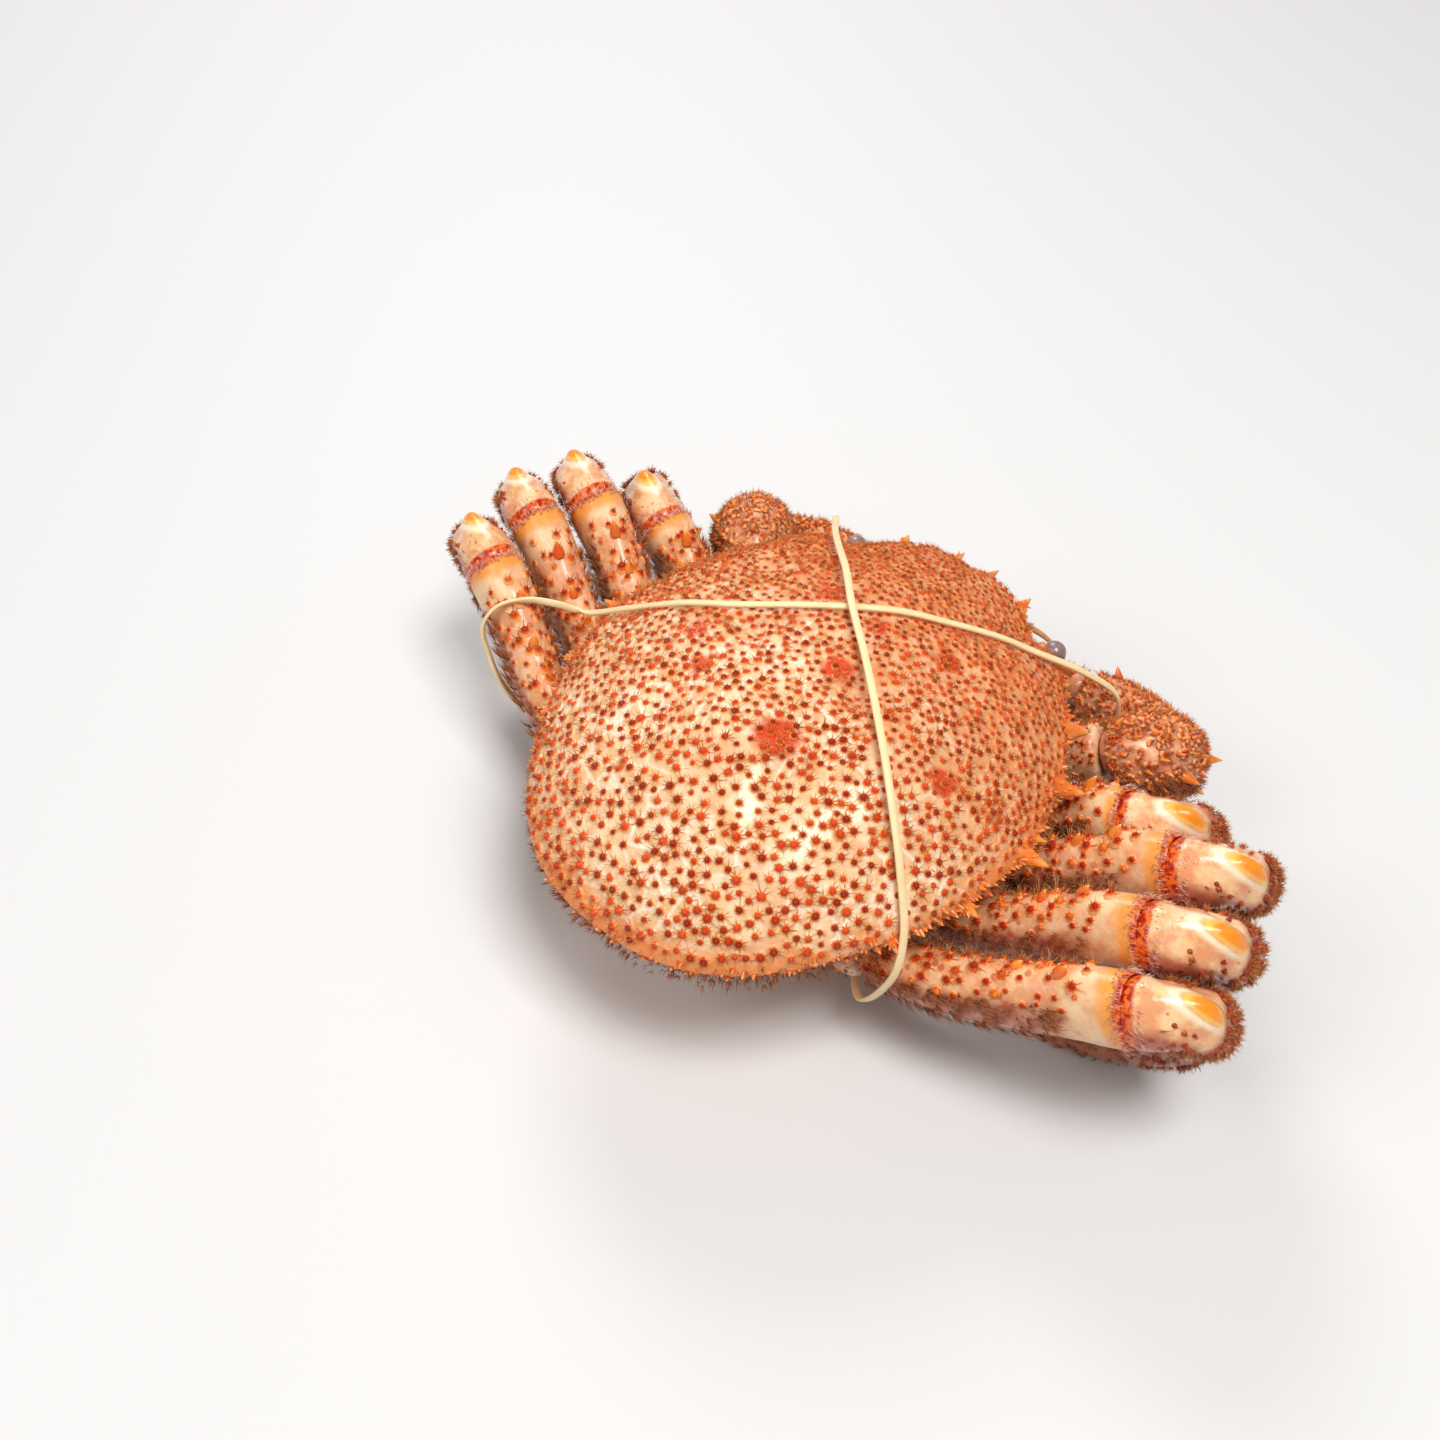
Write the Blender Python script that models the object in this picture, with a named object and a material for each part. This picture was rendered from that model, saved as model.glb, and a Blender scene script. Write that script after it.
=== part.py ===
"""Horsehair crab, boiled, with its legs folded and held by two rubber bands.

The shapes are worked out in millimetres, with the carapace centre over the
origin, the face towards -Y, the animal's left towards +X and the floor at
z = 0. Each mesh is turned into metres as it is made.
"""
import math
import random

import bmesh
import bpy
from mathutils import Vector
from mathutils.bvhtree import BVHTree

MM = 0.001
SEED = 11
SIDE_NAMES = {1: "left", -1: "right"}

# The whole is moved by this much so that its box is centred on the origin.
CENTRE_SHIFT = (0.4, 6.5)

# Gap between two pieces that meet, and how deep a tooth's root is sunk.
JOINT_GAP = 0.3
ROOT_DEPTH = 0.9
FLOOR = 0.0

# Carapace outline inside the teeth, from the front middle to the rear middle.
OUTLINE = (
    (0.0, -50.0), (7.5, -50.0), (14.0, -46.5), (20.0, -41.5), (27.0, -39.5),
    (34.5, -30.0), (40.5, -19.0), (44.5, -3.0), (42.5, 12.0), (37.5, 25.0),
    (29.5, 38.0), (19.0, 47.5), (8.0, 51.5), (0.0, 52.0),
)
OUTLINE_STEPS = 64
DOME_CENTRE = (0.0, 5.0)
MARGIN_HEIGHT = 36.0
MARGIN_FRONT_RISE = 2.0
MARGIN_REAR_DROP = 2.5
DOME_RISE = 19.2
DOME_POWER = 2.05
DOME_ROUND = 0.74
DOME_CELLS = 30
DOME_CROWDING = 0.16
FLANK_SCALE = 0.955
FLANK_DROP = 3.8
CARAPACE_FLOOR = 27.0
CARAPACE_FLOOR_SCALE = 0.80

# Swellings and furrows of the dome: x, y, spread in x, spread in y, height.
REGIONS = (
    (0.0, -20.0, 13.0, 13.0, 1.1), (24.0, 6.0, 11.0, 15.0, 1.2),
    (0.0, 22.0, 8.0, 10.0, 1.4), (29.0, -24.0, 7.0, 7.0, 1.0),
    (11.0, 1.0, 4.0, 4.5, -1.6), (13.0, 21.0, 3.5, 9.0, -1.3),
    (20.0, -14.0, 5.0, 4.0, -1.0), (0.0, 41.0, 14.0, 3.5, -0.8),
)

# Margin teeth: tip place, root radius; each has a mirror image.
TEETH = (
    ((3.9, -55.0, 36.5), 2.4), ((13.8, -50.2, 38.8), 2.9),
    ((29.6, -43.6, 36.4), 3.3), ((38.6, -31.6, 35.8), 3.3),
    ((45.3, -19.4, 35.2), 3.2), ((49.0, -2.1, 35.8), 3.0),
    ((45.4, 13.0, 34.8), 2.4), ((39.4, 26.4, 34.2), 1.8),
)
TOOTH_SIDES = 6
TOOTH_ROOT_SCALE = 0.97
TOOTH_ROOT_DROP = 0.2
TOOTH_MID = 0.5
TOOTH_MID_WIDTH = 0.62

# Bristly tufts: each is drawn up out of one small face of a shell. Rules
# give the share of the length and the degrees round, both from and to,
# then height, lean along the limb and the width of a narrow root, if any.
TUFT_HEIGHTS = (0.55, 1.35)
TUFT_SWAY = 0.45
GRID_WANDER = 0.30
TUFT_CLEARANCE = 0.3
TUFT_LEAST = 0.12
TUFT_LONGEST = 4.0
ROOM_BY_BRISTLY = 0.5
ROOM_BY_PLAIN = 0.8
AXIS_STEPS = 40
DOME_EDGE = 0.999
DOME_FACE_Y = -38.0
DOME_REAR_Y = 28.0
DOME_TUFT_FRONT = 1.25
DOME_TUFT_REAR = 1.75
DOME_TUFT_LEAN = -0.55
MARGIN_TUFT_REACH = 1.1
MARGIN_TUFT_RISE = 0.5
MERUS_TUFTS = (
    ((0.0, 0.84), (72, 108), 2.5, 0.7, 0.9), ((0.0, 0.84), (36, 144), 1.7, 1.0, 0.0),
    ((0.0, 0.88), (-90, 36), 1.5, 1.8, 0.0), ((0.0, 0.88), (144, 270), 1.5, 1.8, 0.0),
    ((0.92, 1.0), (0, 180), 0.8, 0.6, 0.0),
)
CARPUS_TUFTS = (
    ((0.55, 0.85), (60, 120), 1.1, 0.4, 0.8), ((0.0, 0.8), (-60, 24), 1.0, 1.0, 0.0),
    ((0.0, 0.8), (156, 240), 1.0, 1.0, 0.0),
)
PROPODUS_TUFTS = (((0.0, 0.9), (60, 120), 1.9, 0.8, 0.8), ((0.0, 0.95), (-90, 270), 1.4, 1.4, 0.0))
DACTYLUS_TUFTS = (((0.0, 0.5), (-90, 270), 0.6, 0.8, 0.0),)
ARM_TUFTS = (((0.2, 1.0), (30, 150), 1.6, 0.5, 0.9), ((0.0, 1.0), (-90, 270), 0.9, 0.8, 0.0))
WRIST_TUFTS = (
    ((0.1, 0.95), (-20, 20), 2.6, 0.7, 0.8), ((0.1, 0.95), (40, 80), 3.0, 0.7, 0.8),
    ((0.1, 0.95), (100, 140), 2.6, 0.7, 0.8), ((0.0, 1.0), (-90, 270), 1.3, 0.9, 0.0),
)
HAND_TUFTS = (
    ((0.05, 0.9), (-20, 20), 2.2, 0.7, 0.8), ((0.05, 0.9), (40, 80), 2.7, 0.7, 0.8),
    ((0.05, 0.9), (100, 140), 2.2, 0.7, 0.8), ((0.0, 1.0), (-90, 270), 1.1, 0.9, 0.0),
)
FINGER_TUFTS = (((0.0, 0.4), (20, 160), 0.9, 0.5, 0.0),)

# Thorax: outline scale and height of its rings, and the mouth frame's box.
THORAX_RINGS = ((0.70, 26.7), (0.67, 23.5), (0.63, 18.0), (0.54, 14.0), (0.40, 12.4))
THORAX_STEPS = 32
SOCKET_SIDES = 8
LEG_SOCKET_RINGS = (0.0, 0.8, 1.0)
LEG_SOCKET_LENGTH = 15.0
LEG_SOCKET_SIZES = ((0.0, 3.6, 4.0), (0.8, 4.4, 5.0), (1.0, 3.9, 4.6))
CLAW_SOCKET_LENGTH = 14.0
CLAW_SOCKET_SIZES = ((0.0, 4.0, 4.4), (1.0, 4.4, 4.8))
MOUTH_FRAME = (14.0, (-41.6, -28.0), (13.5, 26.7))

# Legs: base, knee, elbow, wrist and tip of each, in the pose of the photo.
LEGS = {
    "left_leg_1": ((30, -21, 18), (57.5, -28.5, 31), (66, -36.0, 25), (56, -38.0, 9), (31, -34, 1.3)),
    "left_leg_2": ((31, -6.5, 18), (68.5, -20.3, 36.5), (76.5, -26.5, 29), (66, -28, 9), (42, -22, 1.3)),
    "left_leg_3": ((31, 6, 18), (73.0, -8.6, 37.5), (80.5, -14.2, 30), (71, -14, 9), (46, -8, 1.3)),
    "left_leg_4": ((30, 20, 18), (69.5, 6.2, 38), (77.5, 1.6, 31), (70, 0, 9), (47, 6, 1.3)),
    "right_leg_1": ((-30, -21, 18), (-53.2, -22.5, 30.5), (-60.5, -30, 25.5), (-50.5, -36, 9), (-31, -33, 1.3)),
    "right_leg_2": ((-31, -8, 18), (-66.6, -12.3, 39), (-73, -21.5, 31.5), (-64.5, -26, 9), (-42, -22, 1.3)),
    "right_leg_3": ((-31, 6, 18), (-69.7, 2.0, 40), (-77.5, -7.5, 31.5), (-68.5, -13, 9), (-46, -9, 1.3)),
    "right_leg_4": ((-30, 20, 18), (-74, 13.0, 36.5), (-80.5, 5.0, 29.5), (-71.5, 1, 9), (-48, 5, 1.3)),
}
LEG_SIDES = 8
CARPUS_SIDES = 10
CLAW_SIDES = 10
LEG_BULGES = (0.36, 0.40, 0.30, 0.36)
TIP_SIDES = 8

# Limb widths along each segment: share of length, half thickness, half depth.
MERUS_SIZES = ((0.0, 4.0, 4.6), (0.35, 4.6, 5.9), (0.8, 5.0, 6.6), (0.9, 5.5, 7.2), (1.0, 5.3, 6.7))
CARPUS_SIZES = ((0.0, 4.7, 5.6), (0.3, 5.2, 6.3), (0.7, 5.0, 6.0), (1.0, 4.4, 5.4))
PROPODUS_SIZES = ((0.0, 4.1, 5.0), (0.4, 4.5, 5.9), (0.8, 3.6, 4.6), (1.0, 3.1, 3.6))
DACTYLUS_SIZES = ((0.0, 2.6, 3.2), (0.4, 2.4, 3.0), (0.8, 1.5, 1.7), (0.95, 0.8, 0.8))
MERUS_RINGS = (0.0, 0.13, 0.26, 0.40, 0.53, 0.66, 0.79, 0.91, 1.0)
CARPUS_RINGS = (0.0, 0.28, 0.54, 0.79, 1.0)
PROPODUS_RINGS = (0.0, 0.2, 0.4, 0.6, 0.8, 1.0)
DACTYLUS_RINGS = (0.0, 0.2, 0.4, 0.6, 0.8, 0.95)
KNEE_DIRECTION = (0.90, 0.0, 0.44)
BASE_DIRECTION = (0.97, 0.0, 0.22)
ELBOW_DROP = 0.35
WRIST_DROP = 0.10
TIP_DROP = 0.12
SECTION_POWER = 2.4

# Claw legs, left side; the right one is its mirror image.
CLAW_POINTS = {
    "arm": ((23, -33, 19), (0.9, -0.1, 0.2), (39.5, -37.5, 26), (0.85, -0.3, 0.4)),
    "wrist": ((40, -37.7, 26.2), (0.85, -0.3, 0.4), (47.0, -49.0, 19.5), (-0.35, -0.75, -0.6)),
    "hand": ((46.8, -49.5, 19.1), (-0.42, -0.72, -0.55), (25, -58.5, 11.5), (-0.95, -0.15, -0.2)),
    "finger": ((24.1, -58.6, 14.6), (-0.95, -0.15, -0.2), (6.0, -57.5, 8.6), (-0.8, 0.3, -0.5)),
}
ARM_SIZES = ((0.0, 4.2, 4.6), (0.6, 4.8, 5.6), (1.0, 4.6, 5.4))
WRIST_SIZES = ((0.0, 4.6, 5.2), (0.35, 7.6, 8.0), (0.7, 8.0, 8.6), (1.0, 5.4, 6.6))
ARM_RINGS = (0.0, 0.25, 0.5, 0.75, 1.0)
WRIST_RINGS = (0.0, 0.15, 0.32, 0.5, 0.68, 0.85, 1.0)
HAND_RINGS = (0.0, 0.13, 0.27, 0.41, 0.56, 0.71, 0.86, 1.0)
FINGER_RINGS = (0.0, 0.2, 0.4, 0.65, 0.95)
HAND_SIZES = ((0.0, 4.8, 5.8), (0.35, 6.0, 8.2), (0.75, 5.8, 8.0), (1.0, 5.0, 6.6))
FINGER_SIZES = ((0.0, 3.4, 3.2), (0.5, 2.6, 2.6), (0.95, 0.9, 0.9))
FIXED_FINGER = ((28, -58.3, 7.2), (-0.95, -0.1, -0.20), (6.0, -56.5, 4.4), (-0.85, 0.35, 0.2))
FIXED_FINGER_SIZES = ((0.0, 4.4, 3.6), (0.5, 2.9, 2.6), (0.95, 0.9, 0.9))

# Eyes, antennae, mouth plates and tail flap, left side.
EYE_CENTRE = (22.5, -45.5, 34.0)
EYE_RADIUS = 2.15
EYE_SEGMENTS = 10
EYE_ROWS = 6
STALK_ROOT = (16.5, -41.5, 32.0)
STALK_RADIUS = 1.4
STALK_SIDES = 8
SOCKET_RADIUS = 2.8
ANTENNA = ((11.5, -48.6, 31.5), (0.3, -0.9, -0.3), (21.5, -54.0, 23.5), (0.8, 0.2, -0.7))
ANTENNA_RINGS = (0.0, 0.2, 0.4, 0.6, 0.8, 0.97)
ANTENNA_SIZES = ((0.0, 1.3, 1.3), (0.3, 0.9, 0.9), (0.97, 0.4, 0.4))
MOUTH_PLATE = ((5.4, -43.6, 26.0), (0.0, -0.1, -1.0), (5.0, -44.4, 11.5), (0.0, 0.2, -1.0))
MOUTH_RINGS = (0.0, 0.25, 0.55, 0.8, 1.0)
MOUTH_SIZES = ((0.0, 3.4, 1.3), (0.3, 4.8, 1.7), (0.8, 4.4, 1.6), (1.0, 3.0, 1.1))
FLAP_POINTS = ((0, 39.6, 25.5), (0, 37.4, 17.0), (0, 31.0, 10.6), (0, 12.0, 10.5), (0, -10.0, 10.7))
FLAP_WIDTHS = (7.5, 9.0, 9.5, 7.5, 3.0)
FLAP_HALF_THICKNESS = 1.1
FLAP_SECTION = ((1.0, 0.35), (0.75, 1.0), (0.0, 1.25), (-0.75, 1.0), (-1.0, 0.35), (-1.0, -0.6), (0.0, -1.0),
                (1.0, -0.6))

# Rubber bands: closed routes. A height of None rides on the carapace.
BAND_HALF_WIDTH = 0.65
BAND_HALF_THICKNESS = 0.45
BAND_SECTION = ((1, 1), (1, -1), (-1, -1), (-1, 1))
BAND_LIFT = 1.3
BAND_STEPS = 48
BAND_LONG = (
    (0.5, -12.6, None), (7.5, -7.6, None), (16.0, -1.9, None), (25.0, 2.6, None), (36.5, 4.2, None),
    (46.3, 4.4, 38.8), (51.5, 7.2, 39.8), (56.0, 10.4, 40.5), (59.5, 14.4, 39.8), (61.2, 17.2, 36.0),
    (60.6, 17.6, 30.0), (57.0, 17.6, 22.0), (50.0, 14.4, 13.5), (38.0, 7.0, 8.6), (5.0, -12.0, 6.6),
    (-25.0, -31.0, 7.8), (-34.5, -43.6, 12.0), (-36.6, -46.5, 22.0), (-36.0, -45.6, 31.5),
    (-31.0, -40.4, 38.6), (-24.6, -34.4, None), (-19.0, -29.8, None), (-12.1, -24.0, None),
    (-5.9, -18.2, None),
)
BAND_CROSS = (
    (-0.5, -11.4, None), (-8.6, -4.0, None), (-16.3, 3.5, None), (-23.3, 10.2, None),
    (-29.0, 15.4, None), (-33.9, 19.8, None), (-38.8, 24.4, 37.0), (-39.0, 27.0, 27.5),
    (-32.0, 25.0, 13.5), (-20.0, 10.0, 8.6), (0.0, -12.0, 8.3), (20.0, -36.0, 9.2),
    (28.0, -46.4, 14.0), (30.4, -49.6, 26.0), (29.8, -48.4, 35.0), (25.4, -42.2, 40.8),
    (20.5, -35.2, None), (14.9, -28.4, None), (6.8, -19.5, None),
)
CROSS_BAND_EXTRA_LIFT = 1.7

# Colours of each kind of piece: base colour, roughness.
SHELL_TOP = ((0.72, 0.29, 0.12), 0.42)
SHELL_UNDER = ((0.86, 0.66, 0.48), 0.45)
LEG_UPPER = ((0.74, 0.34, 0.18), 0.45)
LEG_JOINT = ((0.84, 0.48, 0.28), 0.40)
LEG_LOWER = ((0.55, 0.24, 0.15), 0.50)
LEG_CLAW = ((0.42, 0.16, 0.09), 0.45)
CLAW_SHELL = ((0.66, 0.22, 0.11), 0.48)
FINGER_SHELL = ((0.30, 0.12, 0.08), 0.40)
EYE_SHELL = ((0.06, 0.05, 0.06), 0.15)
FEELER_SHELL = ((0.62, 0.30, 0.14), 0.50)
MOUTH_SHELL = ((0.70, 0.40, 0.24), 0.48)
BAND_RUBBER = ((0.86, 0.72, 0.47), 0.55)


def lerp_sizes(sizes, share):
    """Half thickness and half depth at a share of a limb's length."""
    previous = sizes[0]
    for entry in sizes:
        if entry[0] >= share:
            span = max(entry[0] - previous[0], 1e-6)
            mix = (share - previous[0]) / span
            return tuple(previous[i] + mix * (entry[i] - previous[i]) for i in (1, 2))
        previous = entry
    return previous[1], previous[2]


def smooth_closed(points, steps):
    """Even points along a closed Catmull-Rom curve through the given ones."""
    count = len(points)
    curve = []
    for step in range(steps):
        place = step * count / steps
        index = int(place)
        mix = place - index
        a, b, c, d = (points[(index + offset) % count] for offset in (-1, 0, 1, 2))
        curve.append(
            0.5 * ((2.0 * b) + (c - a) * mix + (2.0 * a - 5.0 * b + 4.0 * c - d) * mix ** 2
                   + (3.0 * b - a - 3.0 * c + d) * mix ** 3)
        )
    return curve


def full_outline():
    """Plan of the carapace, both sides, as a closed list of points."""
    right = [Vector((-x, y)) for x, y in reversed(OUTLINE[1:-1])]
    left = [Vector(point) for point in OUTLINE]
    return smooth_closed(left + right, OUTLINE_STEPS)


PLAN = full_outline()


def plan_scale(x, y):
    """How far out towards the margin a plan point lies, 1 being the margin."""
    away = Vector((x - DOME_CENTRE[0], y - DOME_CENTRE[1]))
    angle = math.atan2(away.x, -away.y)
    best = None
    for index, corner in enumerate(PLAN):
        following = PLAN[(index + 1) % len(PLAN)]
        a = corner - Vector(DOME_CENTRE)
        b = following - Vector(DOME_CENTRE)
        turn = math.atan2(a.x, -a.y)
        span = (math.atan2(b.x, -b.y) - turn + math.pi) % (2 * math.pi) - math.pi
        offset = (angle - turn + math.pi) % (2 * math.pi) - math.pi
        if span != 0 and 0 <= offset / span <= 1:
            edge = b - a
            across = away.x * edge.y - away.y * edge.x
            best = (a.x * edge.y - a.y * edge.x) / across if across else None
    return 1.0 / best if best else 0.0


def margin_height(y):
    """Height of the carapace margin, higher at the face than at the rear."""
    if y < 0:
        return MARGIN_HEIGHT + MARGIN_FRONT_RISE * (y / 50.0) ** 2
    return MARGIN_HEIGHT - MARGIN_REAR_DROP * (y / 50.0) ** 2


def dome_height(x, y, scale=None):
    """Height of the carapace's upper surface over a plan point."""
    share = min(plan_scale(x, y) if scale is None else scale, 1.0)
    margin = margin_height(y)
    arch = (1.0 - share ** DOME_POWER) ** DOME_ROUND
    height = margin + (MARGIN_HEIGHT + DOME_RISE - margin) * arch
    for cx, cy, sx, sy, rise in REGIONS:
        for side in ((1, -1) if cx else (1,)):
            bell = math.exp(-((x - side * cx) / sx) ** 2 - ((y - cy) / sy) ** 2)
            height += rise * bell * min(1.0, 3.0 * (1.0 - share))
    return height


def dome_normal(x, y):
    """Direction straight out of the carapace over a plan point."""
    step = 0.4
    slope_x = (dome_height(x + step, y) - dome_height(x - step, y)) / (2 * step)
    slope_y = (dome_height(x, y + step) - dome_height(x, y - step)) / (2 * step)
    return Vector((-slope_x, -slope_y, 1.0)).normalized()


def hermite(start, start_direction, end, end_direction, share, reach):
    """Point on a curve that leaves and arrives in given directions."""
    a = start
    b = start + start_direction * reach
    c = end - end_direction * reach
    rest = 1.0 - share
    return a * rest ** 3 + b * 3 * rest ** 2 * share + c * 3 * rest * share ** 2 + end * share ** 3


class Limb:
    """A limb segment: a tapering tube along a curved axis."""

    def __init__(self, start, start_direction, end, end_direction, sizes, rings,
                 side=None, sides=LEG_SIDES, trim=JOINT_GAP, bulge=0.36, hand=-1):
        self.start = Vector(start)
        self.end = Vector(end)
        self.start_direction = Vector(start_direction).normalized()
        self.end_direction = Vector(end_direction).normalized()
        self.start += self.start_direction * (trim / 2)
        self.end -= self.end_direction * (trim / 2)
        self.reach = bulge * (self.end - self.start).length
        self.sizes = sizes
        self.shares = rings
        self.sides = sides
        self.hand = hand
        self.wander = 0.0
        axis = self.end - self.start
        self.side = Vector(side) if side else Vector((-axis.y, axis.x, 0.0))
        self.side.normalize()

    def centre(self, share):
        return hermite(self.start, self.start_direction, self.end, self.end_direction, share, self.reach)

    def frame(self, share):
        """Axis, thickness and depth directions at a share of the length."""
        step = 0.01
        if share < step:
            along = self.start_direction.copy()
        elif share > 1 - step:
            along = self.end_direction.copy()
        else:
            along = (self.centre(share + step) - self.centre(share - step)).normalized()
        across = (self.side - along * self.side.dot(along)).normalized()
        return along, across, across.cross(along).normalized() * -self.hand

    def surface(self, share, degrees, grow=0.0):
        """Point on the skin and the direction out of it."""
        along, across, depth = self.frame(share)
        half_thickness, half_depth = lerp_sizes(self.sizes, share)
        angle = math.radians(degrees)
        cosine, sine = math.cos(angle), math.sin(angle)
        power = 2.0 / SECTION_POWER
        wide = math.copysign(abs(cosine) ** power, cosine)
        deep = math.copysign(abs(sine) ** power, sine)
        place = (self.centre(share) + across * wide * (half_thickness + grow)
                 + depth * deep * (half_depth + grow))
        out = (across * cosine / half_thickness + depth * sine / half_depth).normalized()
        return place, out

    def rings(self, grow=0.0):
        """Closed rings of points from the root to the tip; the inner ones may wander."""
        chance = random.Random(int(self.start.length / MM))
        rings = []
        for index, share in enumerate(self.shares):
            inner = 0 < index < len(self.shares) - 1
            loose = self.wander if inner else 0.0
            spacing = (self.shares[index + 1] - self.shares[index - 1]) / 2 if inner else 0.0
            rings.append([
                self.surface(share + spacing * loose * chance.uniform(-1, 1),
                             360.0 * (step + 0.5 + loose * chance.uniform(-1, 1)) / self.sides, grow)[0]
                for step in range(self.sides)
            ])
        return rings


def mesh_from_rings(rings, tip=None):
    """Closed bmesh through rings of equal counts, ended flat or in a tip."""
    shell = bmesh.new()
    loops = [[shell.verts.new(point) for point in ring] for ring in rings]
    count = len(loops[0])
    for lower, upper in zip(loops, loops[1:]):
        for index in range(count):
            other = (index + 1) % count
            shell.faces.new((lower[index], lower[other], upper[other], upper[index]))
    shell.faces.new(list(reversed(loops[0])))
    if tip is None:
        shell.faces.new(loops[-1])
    else:
        peak = shell.verts.new(tip)
        for index in range(count):
            shell.faces.new((loops[-1][index], loops[-1][(index + 1) % count], peak))
    bmesh.ops.recalc_face_normals(shell, faces=shell.faces)
    return shell


def spike(root, direction, length, radius, sides):
    """Closed cone whose root is sunk below the skin."""
    out = Vector(direction).normalized()
    across = out.orthogonal().normalized()
    other = out.cross(across)
    rings = []
    for rise, width in ((-ROOT_DEPTH, 1.0), (0.0, 1.0), (TOOTH_MID * length, TOOTH_MID_WIDTH)):
        centre = Vector(root) + out * rise
        rings.append([
            centre + (across * math.cos(turn) + other * math.sin(turn)) * radius * width
            for turn in (2 * math.pi * index / sides for index in range(sides))
        ])
    return mesh_from_rings(rings, Vector(root) + out * length)


def material(name, colour, roughness):
    """Principled material of one node."""
    made = bpy.data.materials.new(name)
    made.use_nodes = True
    shader = made.node_tree.nodes["Principled BSDF"]
    shader.inputs["Base Color"].default_value = (*colour, 1.0)
    shader.inputs["Roughness"].default_value = roughness
    shader.inputs["Metallic"].default_value = 0.0
    return made


def place_mesh(shell):
    """Turn a bmesh in millimetres into a centred mesh in metres."""
    for vert in shell.verts:
        vert.co.z = max(vert.co.z, FLOOR)
        vert.co.x += CENTRE_SHIFT[0]
        vert.co.y += CENTRE_SHIFT[1]
        vert.co *= MM
    mesh = bpy.data.meshes.new("mesh")
    shell.to_mesh(mesh)
    shell.free()
    return mesh


def add_object(name, shell, collection):
    """Object from a bmesh in millimetres."""
    made = bpy.data.objects.new(name, place_mesh(shell))
    made.data.name = name
    collection.objects.link(made)
    return made


def apply_boolean(target, operation, tools):
    """Union or cut a node with several closed meshes, then drop them."""
    group = bpy.data.collections.new("tools")
    bpy.context.scene.collection.children.link(group)
    group.hide_render = True
    for index, shell in enumerate(tools):
        tool = add_object("tool_%03d" % index, shell, group)
        tool.display_type = "WIRE"
        tool.hide_render = True
    change = target.modifiers.new(operation.lower(), "BOOLEAN")
    change.operation = operation
    change.operand_type = "COLLECTION"
    change.collection = group
    change.solver = "EXACT"
    bpy.context.view_layer.objects.active = target
    bpy.ops.object.modifier_apply(modifier=change.name)
    for tool in list(group.objects):
        mesh = tool.data
        bpy.data.objects.remove(tool)
        bpy.data.meshes.remove(mesh)
    bpy.data.collections.remove(group)


def keep_largest(target):
    """Drop everything but the node's largest closed surface."""
    shell = bmesh.new()
    shell.from_mesh(target.data)
    left = set(shell.verts)
    islands = []
    while left:
        stack = [left.pop()]
        island = set(stack)
        while stack:
            for edge in stack.pop().link_edges:
                for vert in edge.verts:
                    if vert in left:
                        left.discard(vert)
                        island.add(vert)
                        stack.append(vert)
        islands.append(island)
    islands.sort(key=len)
    for island in islands[:-1]:
        bmesh.ops.delete(shell, geom=list(island), context="VERTS")
    bmesh.ops.dissolve_degenerate(shell, dist=1e-6, edges=shell.edges)
    shell.to_mesh(target.data)
    shell.free()


def finish(target, look, colour):
    """Give a node its material and round shading."""
    target.data.materials.clear()
    target.data.materials.append(material(look, *colour))
    for face in target.data.polygons:
        face.use_smooth = True


def node(name, shell, look, colour, added=(), cutters=()):
    """One named node with what grows on it fused and its neighbours cut clear."""
    made = add_object(name, shell, CRAB)
    if added:
        apply_boolean(made, "UNION", added)
    if cutters:
        apply_boolean(made, "DIFFERENCE", cutters)
    if added or cutters:
        keep_largest(made)
    finish(made, look, colour)
    return made


def base_shell(limb, pointed=False):
    """A limb segment without its tufts."""
    return mesh_from_rings(limb.rings(), limb.centre(1.0) if pointed else None)


def room_for(place, own):
    """How far a tuft may stand out from a place and stay clear of other nodes."""
    room = TUFT_LONGEST
    for name, (tree, share) in NEIGHBOURS.items():
        distance = None if name == own else tree.find_nearest(place, 2 * (TUFT_LONGEST + TUFT_CLEARANCE))[3]
        if distance is not None:
            room = min(room, (distance - TUFT_CLEARANCE) * share)
    return room


def raise_tufts(shell, own, plan):
    """Draw faces up into tapered tufts: plan gives each its way out and its root's inset."""
    planned = [(face, plan(face)) for face in shell.faces]
    for face, tuft in planned:
        if tuft is None:
            continue
        way, inset = tuft
        place = face.calc_center_median()
        room = room_for(place, own)
        if room <= TUFT_LEAST:
            continue
        reach = way * RANDOM.uniform(*TUFT_HEIGHTS)
        sway = Vector([RANDOM.uniform(-TUFT_SWAY, TUFT_SWAY) for _ in range(3)])
        reach = reach + sway * min(1.0, room)
        if reach.dot(face.normal) < TUFT_LEAST:
            reach += face.normal * TUFT_LEAST
        if reach.length > room:
            reach = reach * (room / reach.length)
        if inset:
            bmesh.ops.inset_individual(shell, faces=[face], thickness=inset, depth=0.0, use_even_offset=True)
        poked = bmesh.ops.poke(shell, faces=[face])
        poked["verts"][0].co = place + reach


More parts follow.
